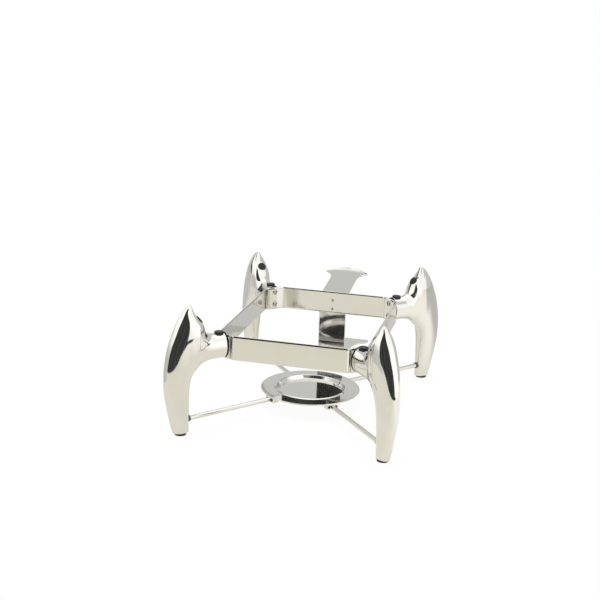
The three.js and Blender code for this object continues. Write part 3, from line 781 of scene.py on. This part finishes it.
class CHAFING_OT_pads(bpy.types.Operator):
    """Build the rubber pads on the arms and the horns"""

    bl_idname = "chafing.pads"
    bl_label = "Pads"

    def execute(self, context):
        sizes = context.scene.leg_sizes
        arm = pad_mesh("arm_pad", (sizes.arm_pad_in, 0, sizes.arm_top), (0, 0, 1))
        z = sizes.horn_pad_z / MM
        low, here, high = eased(BODY, [z - 1, z, z + 1], 2)
        horn = pad_mesh("horn_pad", (here * MM, 0, sizes.horn_pad_z), (1, 0, -(high - low) / 2))
        for name, mesh in (("arm_pad", arm), ("horn_pad", horn)):
            at_corners(name, "rubber", mesh, "rubber", name)
        return {"FINISHED"}


class CHAFING_OT_gaskets(bpy.types.Operator):
    """Build the dark gaskets between the arms and the straps"""

    bl_idname = "chafing.gaskets"
    bl_label = "Gaskets"

    def execute(self, context):
        start, thick = context.scene.leg_sizes.arm_end + GAP, context.scene.strap_sizes.gasket
        _, top, base, half = ARM[-1]
        middle, high = (top + base) / 2, (top - base) / 2
        turn = np.linspace(0, 2 * math.pi, 72, endpoint=False)
        rings = []
        for depth, tuck in ((0, 0.7), (0.15, 0.15), (0.35, 0), (0.65, 0), (0.85, 0.15), (1, 0.7)):
            rings.append([(start + thick * depth, (half - tuck) * MM * math.cos(a),
                           (middle + (high - tuck) * math.sin(a)) * MM) for a in turn])
        at_corners("gasket", "ring", swept("gasket", rings), "rubber", "arm_gasket")
        return {"FINISHED"}


# Straps and their screws

def bent_line(points, radius, steps=12, support=0.0006):
    """Middle line of a strip in its plane, with rounded bends: place and left side for each point."""
    line = rounded([Vector(p) for p in points], [0] + [radius] * (len(points) - 2) + [0], steps, support)
    found = []
    for i, p in enumerate(line):
        before, after = line[max(i - 1, 0)], line[min(i + 1, len(line) - 1)]
        a, b = (p - before), (after - p)
        a = a.normalized() if a.length > 0 else b.normalized()
        b = b.normalized() if b.length > 0 else a
        along = (a + b).normalized()
        stretch = 1 / max(along.dot(a), 0.5)
        found.append((p, Vector((-along.y, along.x)) * stretch))
    return found


def strip_section(half_high, half_thick, edge, steps=8, support=0.0004):
    """Cross-section of flat bar: flat sides and elliptic long edges. Gives thickness and height offsets."""
    quarter = []
    for k in range(steps + 1):
        a = math.pi / 2 * k / steps
        quarter.append((half_thick * math.cos(a), half_high - edge + edge * math.sin(a)))
    right = [(half_thick, half_high - edge - support)] + quarter
    top = right + [(-x, y) for x, y in reversed(right[:-1])]
    return top + [(-x, -y) for x, y in top]


def tab_depths():
    """Distance from the leg's axis to the middle of the side and long tabs and to the screw heads."""
    legs, straps = bpy.context.scene.leg_sizes, bpy.context.scene.strap_sizes
    side = legs.arm_end + straps.gasket + 2 * GAP + straps.thick / 2
    long = side + straps.thick + GAP
    return side, long, long + straps.thick / 2 + GAP


def strap_mesh(name, is_long):
    """The rear or the right strap: a straight run whose ends turn by 45 degrees onto the arm ends."""
    legs, straps = bpy.context.scene.leg_sizes, bpy.context.scene.strap_sizes
    side, long, _ = tab_depths()
    depth = long if is_long else side
    reach = legs.across + legs.deep - depth * math.sqrt(2)
    root = math.sqrt(0.5)
    middle = Vector((legs.across - depth * root, legs.deep - depth * root))
    along_tab = Vector((straps.tab * root, -straps.tab * root))
    if is_long:
        bend, free = Vector((reach - straps.long_y, straps.long_y)), middle + along_tab
        mirror = Vector((-1, 1))
    else:
        bend, free = Vector((straps.side_x, reach - straps.side_x)), middle - along_tab
        mirror = Vector((1, -1))
    line = bent_line([free * mirror, bend * mirror, bend, free], straps.bend)
    section = strip_section(straps.height / 2, straps.thick / 2, straps.edge)
    z = straps.top - straps.height / 2
    return swept(name, [[(p.x + left.x * t, p.y + left.y * t, z + h) for t, h in section]
                        for p, left in line])


class CHAFING_OT_straps(bpy.types.Operator):
    """Build the four flat straps"""

    bl_idname = "chafing.straps"
    bl_label = "Straps"

    def execute(self, context):
        long, side = strap_mesh("strap_long", True), strap_mesh("strap_side", False)
        half_turn = Matrix.Rotation(math.pi, 4, "Z")
        for name, mesh, matrix in (
                ("front", long, half_turn), ("rear", long, None),
                ("left", side, half_turn), ("right", side, None)):
            piece(f"strap_{name}_bar", mesh, "strap", [f"strap_{name}"], matrix)
        return {"FINISHED"}


def screw_mesh(radius, high, shank, depth, slot):
    """A corner screw with a domed head and a cross recess, standing along +X."""
    corners = ((0, high, 0), (radius * 0.62, high - 0.0003, radius * 0.5),
               (radius, high * 0.35, radius * 0.3), (radius, 0, 0.0003), (shank, 0, 0),
               (shank, -depth, 0.0003), (0, -depth, 0))
    body = linked("screw", turned("screw", corners, 48, facing(1, 0, 0), 5, 0.00005))
    bm = bmesh.new()
    for angle in (math.radians(20), math.radians(110)):
        turn = Matrix.Translation((high, 0, 0)) @ Matrix.Rotation(angle, 4, "X")
        bar = Matrix.Diagonal((slot * 1.6, slot * 0.42, radius * 1.25, 1))
        bmesh.ops.create_cube(bm, size=1, matrix=turn @ bar)
    cross = linked("cross", bpy.data.meshes.new("cross"))
    bm.to_mesh(cross.data)
    bm.free()
    cut = body.modifiers.new("cross", "BOOLEAN")
    cut.operation = "DIFFERENCE"
    cut.object = cross
    cut.use_self = True
    mesh = applied(body)
    bpy.data.meshes.remove(cross.data)
    mesh.set_sharp_from_angle(angle=math.radians(40))
    return mesh


class CHAFING_OT_screws(bpy.types.Operator):
    """Build the two screws at each corner"""

    bl_idname = "chafing.screws"
    bl_label = "Corner screws"

    def execute(self, context):
        straps = context.scene.strap_sizes
        seat, shank, in_insert, slot = tab_depths()[2], 0.003, 0.009, 0.0022
        depth = seat - context.scene.leg_sizes.arm_end + in_insert
        base = screw_mesh(straps.head_radius, straps.head_high, shank, depth, slot)
        for level, z in (("lower", straps.screw_low), ("upper", straps.screw_high)):
            mesh = base.copy()
            mesh.transform(Matrix.Translation((seat, 0, z)))
            name = f"corner_screw_{level}"
            at_corners(name, "head", mesh, "plain", name)
        return {"FINISHED"}


# Rods, lugs and dish

class CHAFING_OT_rods(bpy.types.Operator):
    """Build the four rods and the grommets where they enter the legs"""

    bl_idname = "chafing.rods"
    bl_label = "Rods"

    def execute(self, context):
        dish, legs = context.scene.dish_sizes, context.scene.leg_sizes
        reach = math.hypot(legs.across, legs.deep)
        in_lug, in_leg = 0.012, 0.008
        start = dish.lug_face - in_lug
        run = reach - in_leg - start
        corners = ((0, 0, 0), (dish.rod, 0, 0.0008), (dish.rod, run, 0.0008), (0, run, 0))
        rod = lying(turned("rod", corners, 48), start, 0, dish.rod_z)
        at_corners("rod", "bar", rod, "rod", "fuel_rod", rod_matrix)

        inner, outer, deep, from_axis = dish.rod + GAP, 0.0066, 0.008, 0.0185
        turn = np.linspace(0, 2 * math.pi, 48, endpoint=False)
        rings = [[(r * math.cos(a), r * math.sin(a), h) for a in turn]
                 for r, h in ((inner, 0.0004), (inner + 0.0005, 0), (outer - 0.0006, 0), (outer, 0.0006),
                              (outer, deep), (inner, deep))]
        grommet = lying(swept("grommet", rings, closed=True), reach - from_axis, 0, dish.rod_z)
        grommet.set_sharp_from_angle(angle=math.radians(50))
        at_corners("grommet", "ring", grommet, "grommet", "rod_sleeve", rod_matrix)
        return {"FINISHED"}


class CHAFING_OT_lugs(bpy.types.Operator):
    """Build the lugs under the dish and their small dark screws"""

    bl_idname = "chafing.lugs"
    bl_label = "Lugs"

    def execute(self, context):
        dish = context.scene.dish_sizes
        top, base, deep = dish.top - dish.sheet - GAP, 0.0246, 0.015
        middle = Matrix.Translation((dish.lug_face - deep / 2, 0, (top + base) / 2))
        size = Matrix.Diagonal((deep, dish.lug_width, top - base, 1))
        bm = bmesh.new()
        bmesh.ops.create_cube(bm, size=1, matrix=middle @ size)
        bmesh.ops.bevel(bm, geom=bm.edges[:], offset=0.0009, segments=3, profile=0.5, affect="EDGES")
        block = bpy.data.meshes.new("lug")
        bm.to_mesh(block)
        bm.free()
        block.polygons.foreach_set("use_smooth", [True] * len(block.polygons))
        block.set_sharp_from_angle(angle=math.radians(35))
        at_corners("lug", "block", block, "rod", "rod_lug", rod_matrix)

        seat, aside = dish.lug_face + 0.0001, 0.0082
        for side, y in (("a", -aside), ("b", aside)):
            name = f"lug_screw_{side}"
            mesh = lying(small_screw(), seat, y, dish.rod_z)
            at_corners(name, "head", mesh, "screw", name, rod_matrix)
        return {"FINISHED"}


def small_screw():
    """A small dark screw with a hollow in its head."""
    head, hollow, shank = 0.0027, 0.0011, 0.0012
    under, floor, high, deep = 0.0003, 0.0007, 0.0016, 0.007
    corners = ((0, floor, 0), (hollow, floor, 0), (hollow, high, 0.0002), (head, high, 0.0006),
               (head, under, 0.0002), (shank, under, 0), (shank, -deep, 0), (0, -deep, 0))
    mesh = turned("lug_screw", corners, 32, None, 3, 0.00003)
    mesh.set_sharp_from_angle(angle=math.radians(40))
    return mesh


class CHAFING_OT_dish(bpy.types.Operator):
    """Build the fuel dish"""

    bl_idname = "chafing.dish"
    bl_label = "Fuel dish"

    def execute(self, context):
        d = context.scene.dish_sizes
        under = d.top - d.sheet
        # From the floor's middle over the bead to the rim, and back underneath.
        corners = (
            (0, d.floor, 0),
            (d.floor_radius + 0.0006, d.floor, 0.0022),
            (d.recess - 0.0014, d.top + 0.0008, 0.0008),
            (d.recess + 0.0002, d.top + 0.0013, 0.0008),
            (d.recess + 0.0044, d.top, 0.0030),
            (d.radius, d.top - d.fall, 0.0010),
            (d.radius, under - 0.001, 0.0003),
            (d.radius - 0.0018, under - 0.001, 0.0003),
            (d.radius - 0.0022, under, 0),
            (d.recess + 0.0012, under, 0.001),
            (d.floor_radius + 0.0034, d.floor - 0.0002, 0.003),
            (d.floor_radius, d.floor - d.sheet, 0.0015),
            (0, d.floor - d.sheet, 0),
        )
        mesh = turned("dish", corners, 192, None, 8, 0.0003)
        piece("fuel_dish_pan", mesh, "dish", ["fuel_dish"])
        return {"FINISHED"}


# Lid holder

def holder_line():
    """Side view of the strip: places along its middle with the way to its upper side, the half width
    there and the share of the head's bow. Also the direction of the head."""
    h, straps = bpy.context.scene.holder_sizes, bpy.context.scene.strap_sizes
    mid = straps.long_y + straps.thick / 2 + GAP + h.thick / 2
    slope = (h.head_z - h.arm_z) / (h.head_y - mid)
    points = [(h.ledge_y, h.ledge_z), (mid + h.lean, h.ledge_z), (mid + h.lean, h.foot_top),
              (mid, straps.top - straps.height), (mid, h.arm_z),
              (h.neck_end, h.arm_z + slope * (h.neck_end - mid))]
    bend, spacing = 0.005, 0.003
    bends = bent_line(points, bend, 10)
    line = []
    for (p, left), (q, _) in zip(bends, bends[1:]):
        count = max(int((q - p).length / spacing), 1)
        line += [(p.lerp(q, k / count), left) for k in range(count)]
    line.append(bends[-1])
    found, upper = [], h.arm_z - 0.02
    for p, left in line:
        # The head widens at the strip's upper end, and the ledge at its lower end.
        if p.y > upper:
            bow = min(max((p.x - h.neck_start) / (h.neck_end - h.neck_start), 0), 1)
            half = h.half + (h.head_half - h.half) * bow ** 2.4
        else:
            bow = 0.0
            share = min(max((p.x - h.flare_start) / (h.flare_end - h.flare_start), 0), 1)
            half = h.half + (h.ledge_half - h.half) * share ** 2
        found.append((p, left, half, bow))
    return found, Vector((1, slope)).normalized()


def holder_loop(line, ahead, inset, thin, side):
    """The strip's outline from the side. Side runs from -1 at the left edge to 1 at the right one, inset
    keeps the outline off the edge, and thin is its share of the full thickness."""
    h = bpy.context.scene.holder_sizes
    t, roll = h.thick / 2 * thin, h.roll * (0.35 + 0.65 * thin)

    def place(entry, along, up):
        p, left, half, bow = entry
        x = side * max(half - inset, 0)
        push = h.bow * bow * (1 - (x / half) ** 2)
        past = min(max((p.x + push - h.neck_end) / h.bow, 0), 1)
        rise = h.turn_up * past ** 1.6
        push += along
        return (x, p.x + ahead.x * push + left.x * up, p.y + ahead.y * push + left.y * up + rise)

    under = [place(entry, 0, -t) for entry in line]
    over = [place(entry, 0, t) for entry in line]
    last = line[-1]
    lift = 0.001 * thin
    first = math.atan2(-t - lift, -math.sqrt(max(roll ** 2 - (t + lift) ** 2, 1e-10)))
    final = math.atan2(t - lift, -math.sqrt(max(roll ** 2 - (t - lift) ** 2, 1e-10)))
    if final < first:
        final += 2 * math.pi
    steps, bead = 24, []
    for k in range(steps + 1):
        a = first + (final - first) * k / steps
        bead.append(place(last, roll * math.cos(a), lift + roll * math.sin(a)))
    return under[:-1] + bead + over[:-1][::-1]


class CHAFING_OT_holder(bpy.types.Operator):
    """Build the lid holder"""

    bl_idname = "chafing.holder"
    bl_label = "Lid holder"

    def execute(self, context):
        line, ahead = holder_line()
        steps, edge, half_rings = 6, 0.0014, 14
        quarter = [math.pi / 2 * k / steps for k in range(steps, -1, -1)]
        border = [(edge * (1 - math.sin(a)), max(math.cos(a), 0.12)) for a in quarter]
        rings = [holder_loop(line, ahead, inset, thin, -1) for inset, thin in border]
        rings += [holder_loop(line, ahead, edge + 0.0006, 1, k / half_rings - 1)
                  for k in range(2 * half_rings + 1)]
        rings += [holder_loop(line, ahead, inset, thin, 1) for inset, thin in reversed(border)]
        size, run = len(rings[0]), len(line) - 1
        cap = [(k, k + 1, size - 2 - k, size - 1 - k) for k in range(run - 1)]
        cap.append(tuple(range(run - 1, size - run + 1)))
        body = swept("holder", rings, cap)
        body.set_sharp_from_angle(angle=math.radians(38))
        piece("lid_holder_strip", body, "holder", ["lid_holder"])
        return {"FINISHED"}


class CHAFING_OT_rivets(bpy.types.Operator):
    """Build the two rivets that hold the lid holder"""

    bl_idname = "chafing.rivets"
    bl_label = "Rivets"

    def execute(self, context):
        straps, h = context.scene.strap_sizes, context.scene.holder_sizes
        proud = 0.0001
        front = straps.long_y - straps.thick / 2 - proud
        run = straps.thick + GAP + h.thick + 2 * proud
        shank = 0.0022
        corners = ((0, 0.0011, 0), (0.0024, 0.0009, 0.003), (0.0038, 0, 0.0003), (shank, 0, 0),
                   (shank, -run, 0), (0.003, -run, 0.0003), (shank, -run - 0.0016, 0.001),
                   (0, -run - 0.002, 0))
        for name, z in (("lower", h.rivet_low), ("upper", h.rivet_high)):
            place = Matrix.Translation((0, front, z)) @ facing(0, -1, 0)
            mesh = turned("rivet", corners, 40, place, 4, 0.00004)
            mesh.set_sharp_from_angle(angle=math.radians(50))
            piece(f"rivet_{name}_head", mesh, "plain", [f"lid_holder_rivet_{name}"])
        return {"FINISHED"}


class CHAFING_OT_inserts(bpy.types.Operator):
    """Give the hidden inserts in the arm ends their steel finish"""

    bl_idname = "chafing.inserts"
    bl_label = "Inserts"

    def execute(self, context):
        for corner in CORNERS:
            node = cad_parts[f"arm_insert_{corner}"]
            node.data.materials.clear()
            node.data.materials.append(material_of("plain"))
        return {"FINISHED"}


# Stage

def bare_tree(owner):
    """The emptied node tree of a new material or world."""
    owner.use_nodes = True
    owner.node_tree.nodes.clear()
    return owner.node_tree


def rays(tree):
    """Whether a ray comes from the camera, also through glass, and whether a mirror sent it."""
    path = tree.nodes.new("ShaderNodeLightPath").outputs
    return maths(tree, "MAXIMUM", path["Is Camera Ray"], path["Is Transmission Ray"]), path["Is Glossy Ray"]


def mixed_shader(tree, factor, first, second):
    """Output of a mix of two shaders."""
    node = tree.nodes.new("ShaderNodeMixShader")
    for socket, source in zip(node.inputs, (factor, first, second)):
        tree.links.new(source, socket)
    return node.outputs[0]


def table_material(colour):
    """A pale table top. The camera sees it white with the object's faint shadow. The metal sees it
    ivory in front of the object, with painted light that makes it brighter at the right and painted shade
    that makes it a little duller towards its front edge and at the left, and grey behind."""
    material = bpy.data.materials.new("Pale table")
    tree = bare_tree(material)
    shown, glossy = rays(tree)
    place = tree.nodes.new("ShaderNodeTexCoord").outputs["Object"]
    x, y, _ = wired(tree, "ShaderNodeSeparateXYZ", Vector=place).outputs
    mottle = ramp(tree, noise(tree, place, 3.2, 2.0), 0.38, 0.62)
    ivory = blend(tree, mottle, (0.96, 0.935, 0.80), (1.03, 0.985, 0.86))
    # Painted shade: towards the table's front edge the metal sees it a little duller and yellower.
    front = blend(tree, ramp(tree, y, -0.78, -0.45), (0.95, 0.925, 0.765), ivory)
    # Painted light: at the right the metal sees the table brighter than white, a painted pool of light.
    right = blend(tree, ramp(tree, x, 0.10, 0.42), front, (1.30, 1.25, 1.17))
    # Painted shade: at the left, by the left card's foot, the metal sees the table duller.
    left = blend(tree, ramp(tree, x, -0.42, -0.66), right, (0.93, 0.89, 0.85))
    # Painted shade: behind the object the metal sees the table grey.
    rear = blend(tree, ramp(tree, y, 0.16, 0.44), left, (0.62, 0.62, 0.585))
    diffuse = wired(tree, "ShaderNodeBsdfDiffuse", {"Color": (*colour, 1)})
    white = wired(tree, "ShaderNodeEmission", {"Color": (1, 1, 1, 1), "Strength": 1.0})
    # The metal sees the table as this glow, so the painted light and shade above show in its reflections.
    pale = wired(tree, "ShaderNodeEmission", {"Strength": 1.0}, Color=rear)
    # Far behind the object the table is plain white, so that its edge doesn't show.
    flat = ramp(tree, y, 0.45, 0.90, 0.93, 1.0)
    seen = mixed_shader(tree, product(tree, shown, flat), diffuse.outputs[0], white.outputs[0])
    whole = mixed_shader(tree, product(tree, glossy, 0.85), seen, pale.outputs[0])
    out = tree.nodes.new("ShaderNodeOutputMaterial")
    tree.links.new(whole, out.inputs["Surface"])
    return material


def room(world, ambient):
    """The room round the table: white for the camera, plain light for the object, and for the metal a
    grey backdrop behind, a window at the right, a bright ceiling and the dark side where the camera
    stands."""
    tree = bare_tree(world)
    shown, glossy = rays(tree)
    place = tree.nodes.new("ShaderNodeTexCoord")
    x, y, z = wired(tree, "ShaderNodeSeparateXYZ", Vector=place.outputs["Generated"]).outputs
    # Elevation and azimuth in degrees. Azimuth 0 is the front, and it grows to the right.
    degrees = 180 / math.pi
    up = product(tree, maths(tree, "ARCSINE", z), degrees)
    turn = product(tree, maths(tree, "ARCTAN2", x, product(tree, y, -1.0)), degrees)

    # The front is dark with a few paler streaks. The rest is walls, with a window, up to the ceiling.
    dark = product(tree, ramp(tree, turn, 76, 66), ramp(tree, turn, -112, -100), ramp(tree, up, 64, 54))
    streaks = wired(tree, "ShaderNodeTexNoise", {"noise_dimensions": "1D", "Scale": 0.35, "Detail": 3.0},
                    W=turn)
    glow = product(tree, ramp(tree, streaks.outputs["Fac"], 0.42, 0.75), 0.12)
    window = product(tree, ramp(tree, turn, 66, 76), ramp(tree, turn, 104, 92), ramp(tree, up, 30, 18))
    walls = maths(tree, "ADD", ramp(tree, y, 0.3, 0.75, 0.76, 0.73), product(tree, window, 0.55))
    bright = between(tree, ramp(tree, up, 34, 58), walls, 1.5)
    strength = between(tree, dark, bright, maths(tree, "ADD", glow, 0.028))

    mirrored = wired(tree, "ShaderNodeBackground", {"Color": (1.0, 1.01, 0.985, 1)}, Strength=strength)
    plain = wired(tree, "ShaderNodeBackground", {"Color": (1, 1, 1, 1), "Strength": ambient})
    white = wired(tree, "ShaderNodeBackground", {"Color": (1, 1, 1, 1), "Strength": 1.0})
    lit = mixed_shader(tree, glossy, plain.outputs[0], mirrored.outputs[0])
    out = tree.nodes.new("ShaderNodeOutputWorld")
    tree.links.new(mixed_shader(tree, shown, lit, white.outputs[0]), out.inputs["Surface"])


def card_material(name, colour, strength, foot):
    """Bright card with a faintly uneven sheen and a foot made duller by painted shade."""
    material = bpy.data.materials.new(name)
    tree = bare_tree(material)
    place = tree.nodes.new("ShaderNodeTexCoord").outputs["Object"]
    height = wired(tree, "ShaderNodeSeparateXYZ", Vector=place).outputs[2]
    # Painted shade: towards the table the card's glow falls to the level of its foot.
    level = product(tree, ramp(tree, noise(tree, place, 1.6, 1.0), 0.3, 0.7, 0.92, 1.08),
                    ramp(tree, height, 0.14, 0.33, foot, strength))
    light = wired(tree, "ShaderNodeEmission", {"Color": (*colour, 1)}, Strength=level)
    out = tree.nodes.new("ShaderNodeOutputMaterial")
    tree.links.new(light.outputs[0], out.inputs["Surface"])
    return material


def curved(places, count=32):
    """Points along a smooth line through the given places."""
    rows = [(k, *place) for k, place in enumerate(places)]
    at = np.linspace(0, len(rows) - 1, count)
    return list(zip(*(eased(rows, at, k) for k in (1, 2, 3))))


def card(name, near, far, colour, strength, foot):
    """A white card between two lines of points, which only the metal sees."""
    points = curved(near) + curved(far)
    count = len(points) // 2
    faces = [(k, k + 1, count + k + 1, count + k) for k in range(count - 1)]
    mesh = bpy.data.meshes.new(name)
    mesh.from_pydata([tuple(CENTRE @ Vector(p)) for p in points], [], faces)
    mesh.materials.append(card_material(name, colour, strength, foot))
    obj = linked(name, mesh)
    obj.visible_camera = obj.visible_diffuse = obj.visible_transmission = obj.visible_shadow = False


class CHAFING_OT_stage(bpy.types.Operator):
    """Build the table, the soft light and the camera"""

    bl_idname = "chafing.stage"
    bl_label = "Stage"

    def execute(self, context):
        scene = context.scene
        s = scene.stage_settings
        side, front = s.table_reach, s.table_front + CENTRE.translation.y
        mesh = bpy.data.meshes.new("table_top")
        corners = [(-side, front, 0), (side, front, 0), (side, side, 0), (-side, side, 0)]
        mesh.from_pydata(corners, [], [(0, 1, 2, 3)])
        mesh.materials.append(table_material(s.floor))
        table = linked("table_top", mesh)

        # Each card's last number is the level of its foot, dimmed as painted shade near the table.
        card("left_card", *LEFT_CARD, (0.985, 1.0, 0.96), s.card, 0.74)
        card("tent_wall", *TENT, (1.0, 0.995, 0.98), s.card, s.card * 0.95)

        world = bpy.data.worlds.new("Studio")
        scene.world = world
        room(world, s.ambient)

        lamp = bpy.data.lights.new("Soft box", "AREA")
        lamp.shape, lamp.size, lamp.size_y = "RECTANGLE", 1.8, 1.8
        lamp.energy = s.lamp
        box = linked("Soft box", lamp)
        box.location = (-0.2, -0.1, 2.3)
        box.visible_glossy = False

        camera = bpy.data.cameras.new("Camera")
        camera.lens, camera.sensor_width = s.lens, 36.0
        camera.clip_start, camera.clip_end = 0.05, 50.0
        scene.camera = linked("Camera", camera)
        yaw, pitch, roll = (math.radians(v) for v in (s.azimuth, s.pitch, s.roll))
        ahead = Vector((-math.sin(yaw) * math.cos(pitch), math.cos(yaw) * math.cos(pitch), -math.sin(pitch)))
        right = Vector((math.cos(yaw), math.sin(yaw), 0))
        above = right.cross(ahead)
        tilted_right = right * math.cos(roll) + above * math.sin(roll)
        tilted_up = above * math.cos(roll) - right * math.sin(roll)
        turn = Matrix((tilted_right, tilted_up, -ahead)).transposed().to_4x4()
        scene.camera.matrix_world = CENTRE @ Matrix.Translation(s.place) @ turn
        scene.view_settings.view_transform = "Standard"
        return {"FINISHED"}


class CHAFING_PT_panel(bpy.types.Panel):
    """Sizes and steps of the chafing dish frame"""

    bl_label = "Chafing dish frame"
    bl_idname = "CHAFING_PT_panel"
    bl_space_type = "VIEW_3D"
    bl_region_type = "UI"
    bl_category = "Chafing frame"

    def draw(self, context):
        column = self.layout.column()
        for step in STEPS:
            column.operator(step.bl_idname)
        for slot, kind in GROUPS.items():
            box = self.layout.box()
            box.label(text=kind.__doc__)
            for name in kind.__annotations__:
                box.prop(getattr(context.scene, slot), name)


GROUPS = {
    "leg_sizes": LegSizes,
    "strap_sizes": StrapSizes,
    "dish_sizes": DishSizes,
    "holder_sizes": HolderSizes,
    "finishes": Finishes,
    "stage_settings": StageSettings,
}
STEPS = (
    CHAFING_OT_legs, CHAFING_OT_feet, CHAFING_OT_pads, CHAFING_OT_gaskets, CHAFING_OT_straps,
    CHAFING_OT_screws, CHAFING_OT_rods, CHAFING_OT_lugs, CHAFING_OT_dish, CHAFING_OT_holder,
    CHAFING_OT_rivets, CHAFING_OT_inserts, CHAFING_OT_stage,
)


def register():
    """Registers the property groups, operators and the panel."""
    for kind in (*GROUPS.values(), *STEPS, CHAFING_PT_panel):
        bpy.utils.register_class(kind)
    for slot, kind in GROUPS.items():
        setattr(bpy.types.Scene, slot, PointerProperty(type=kind))


def unregister():
    """Removes what register() added."""
    for slot in GROUPS:
        delattr(bpy.types.Scene, slot)
    for kind in (CHAFING_PT_panel, *reversed(STEPS), *reversed(GROUPS.values())):
        bpy.utils.unregister_class(kind)


def main():
    register()
    for step in STEPS:
        getattr(bpy.ops.chafing, step.bl_idname.split(".")[1])()


if __name__ == "__main__":
    main()
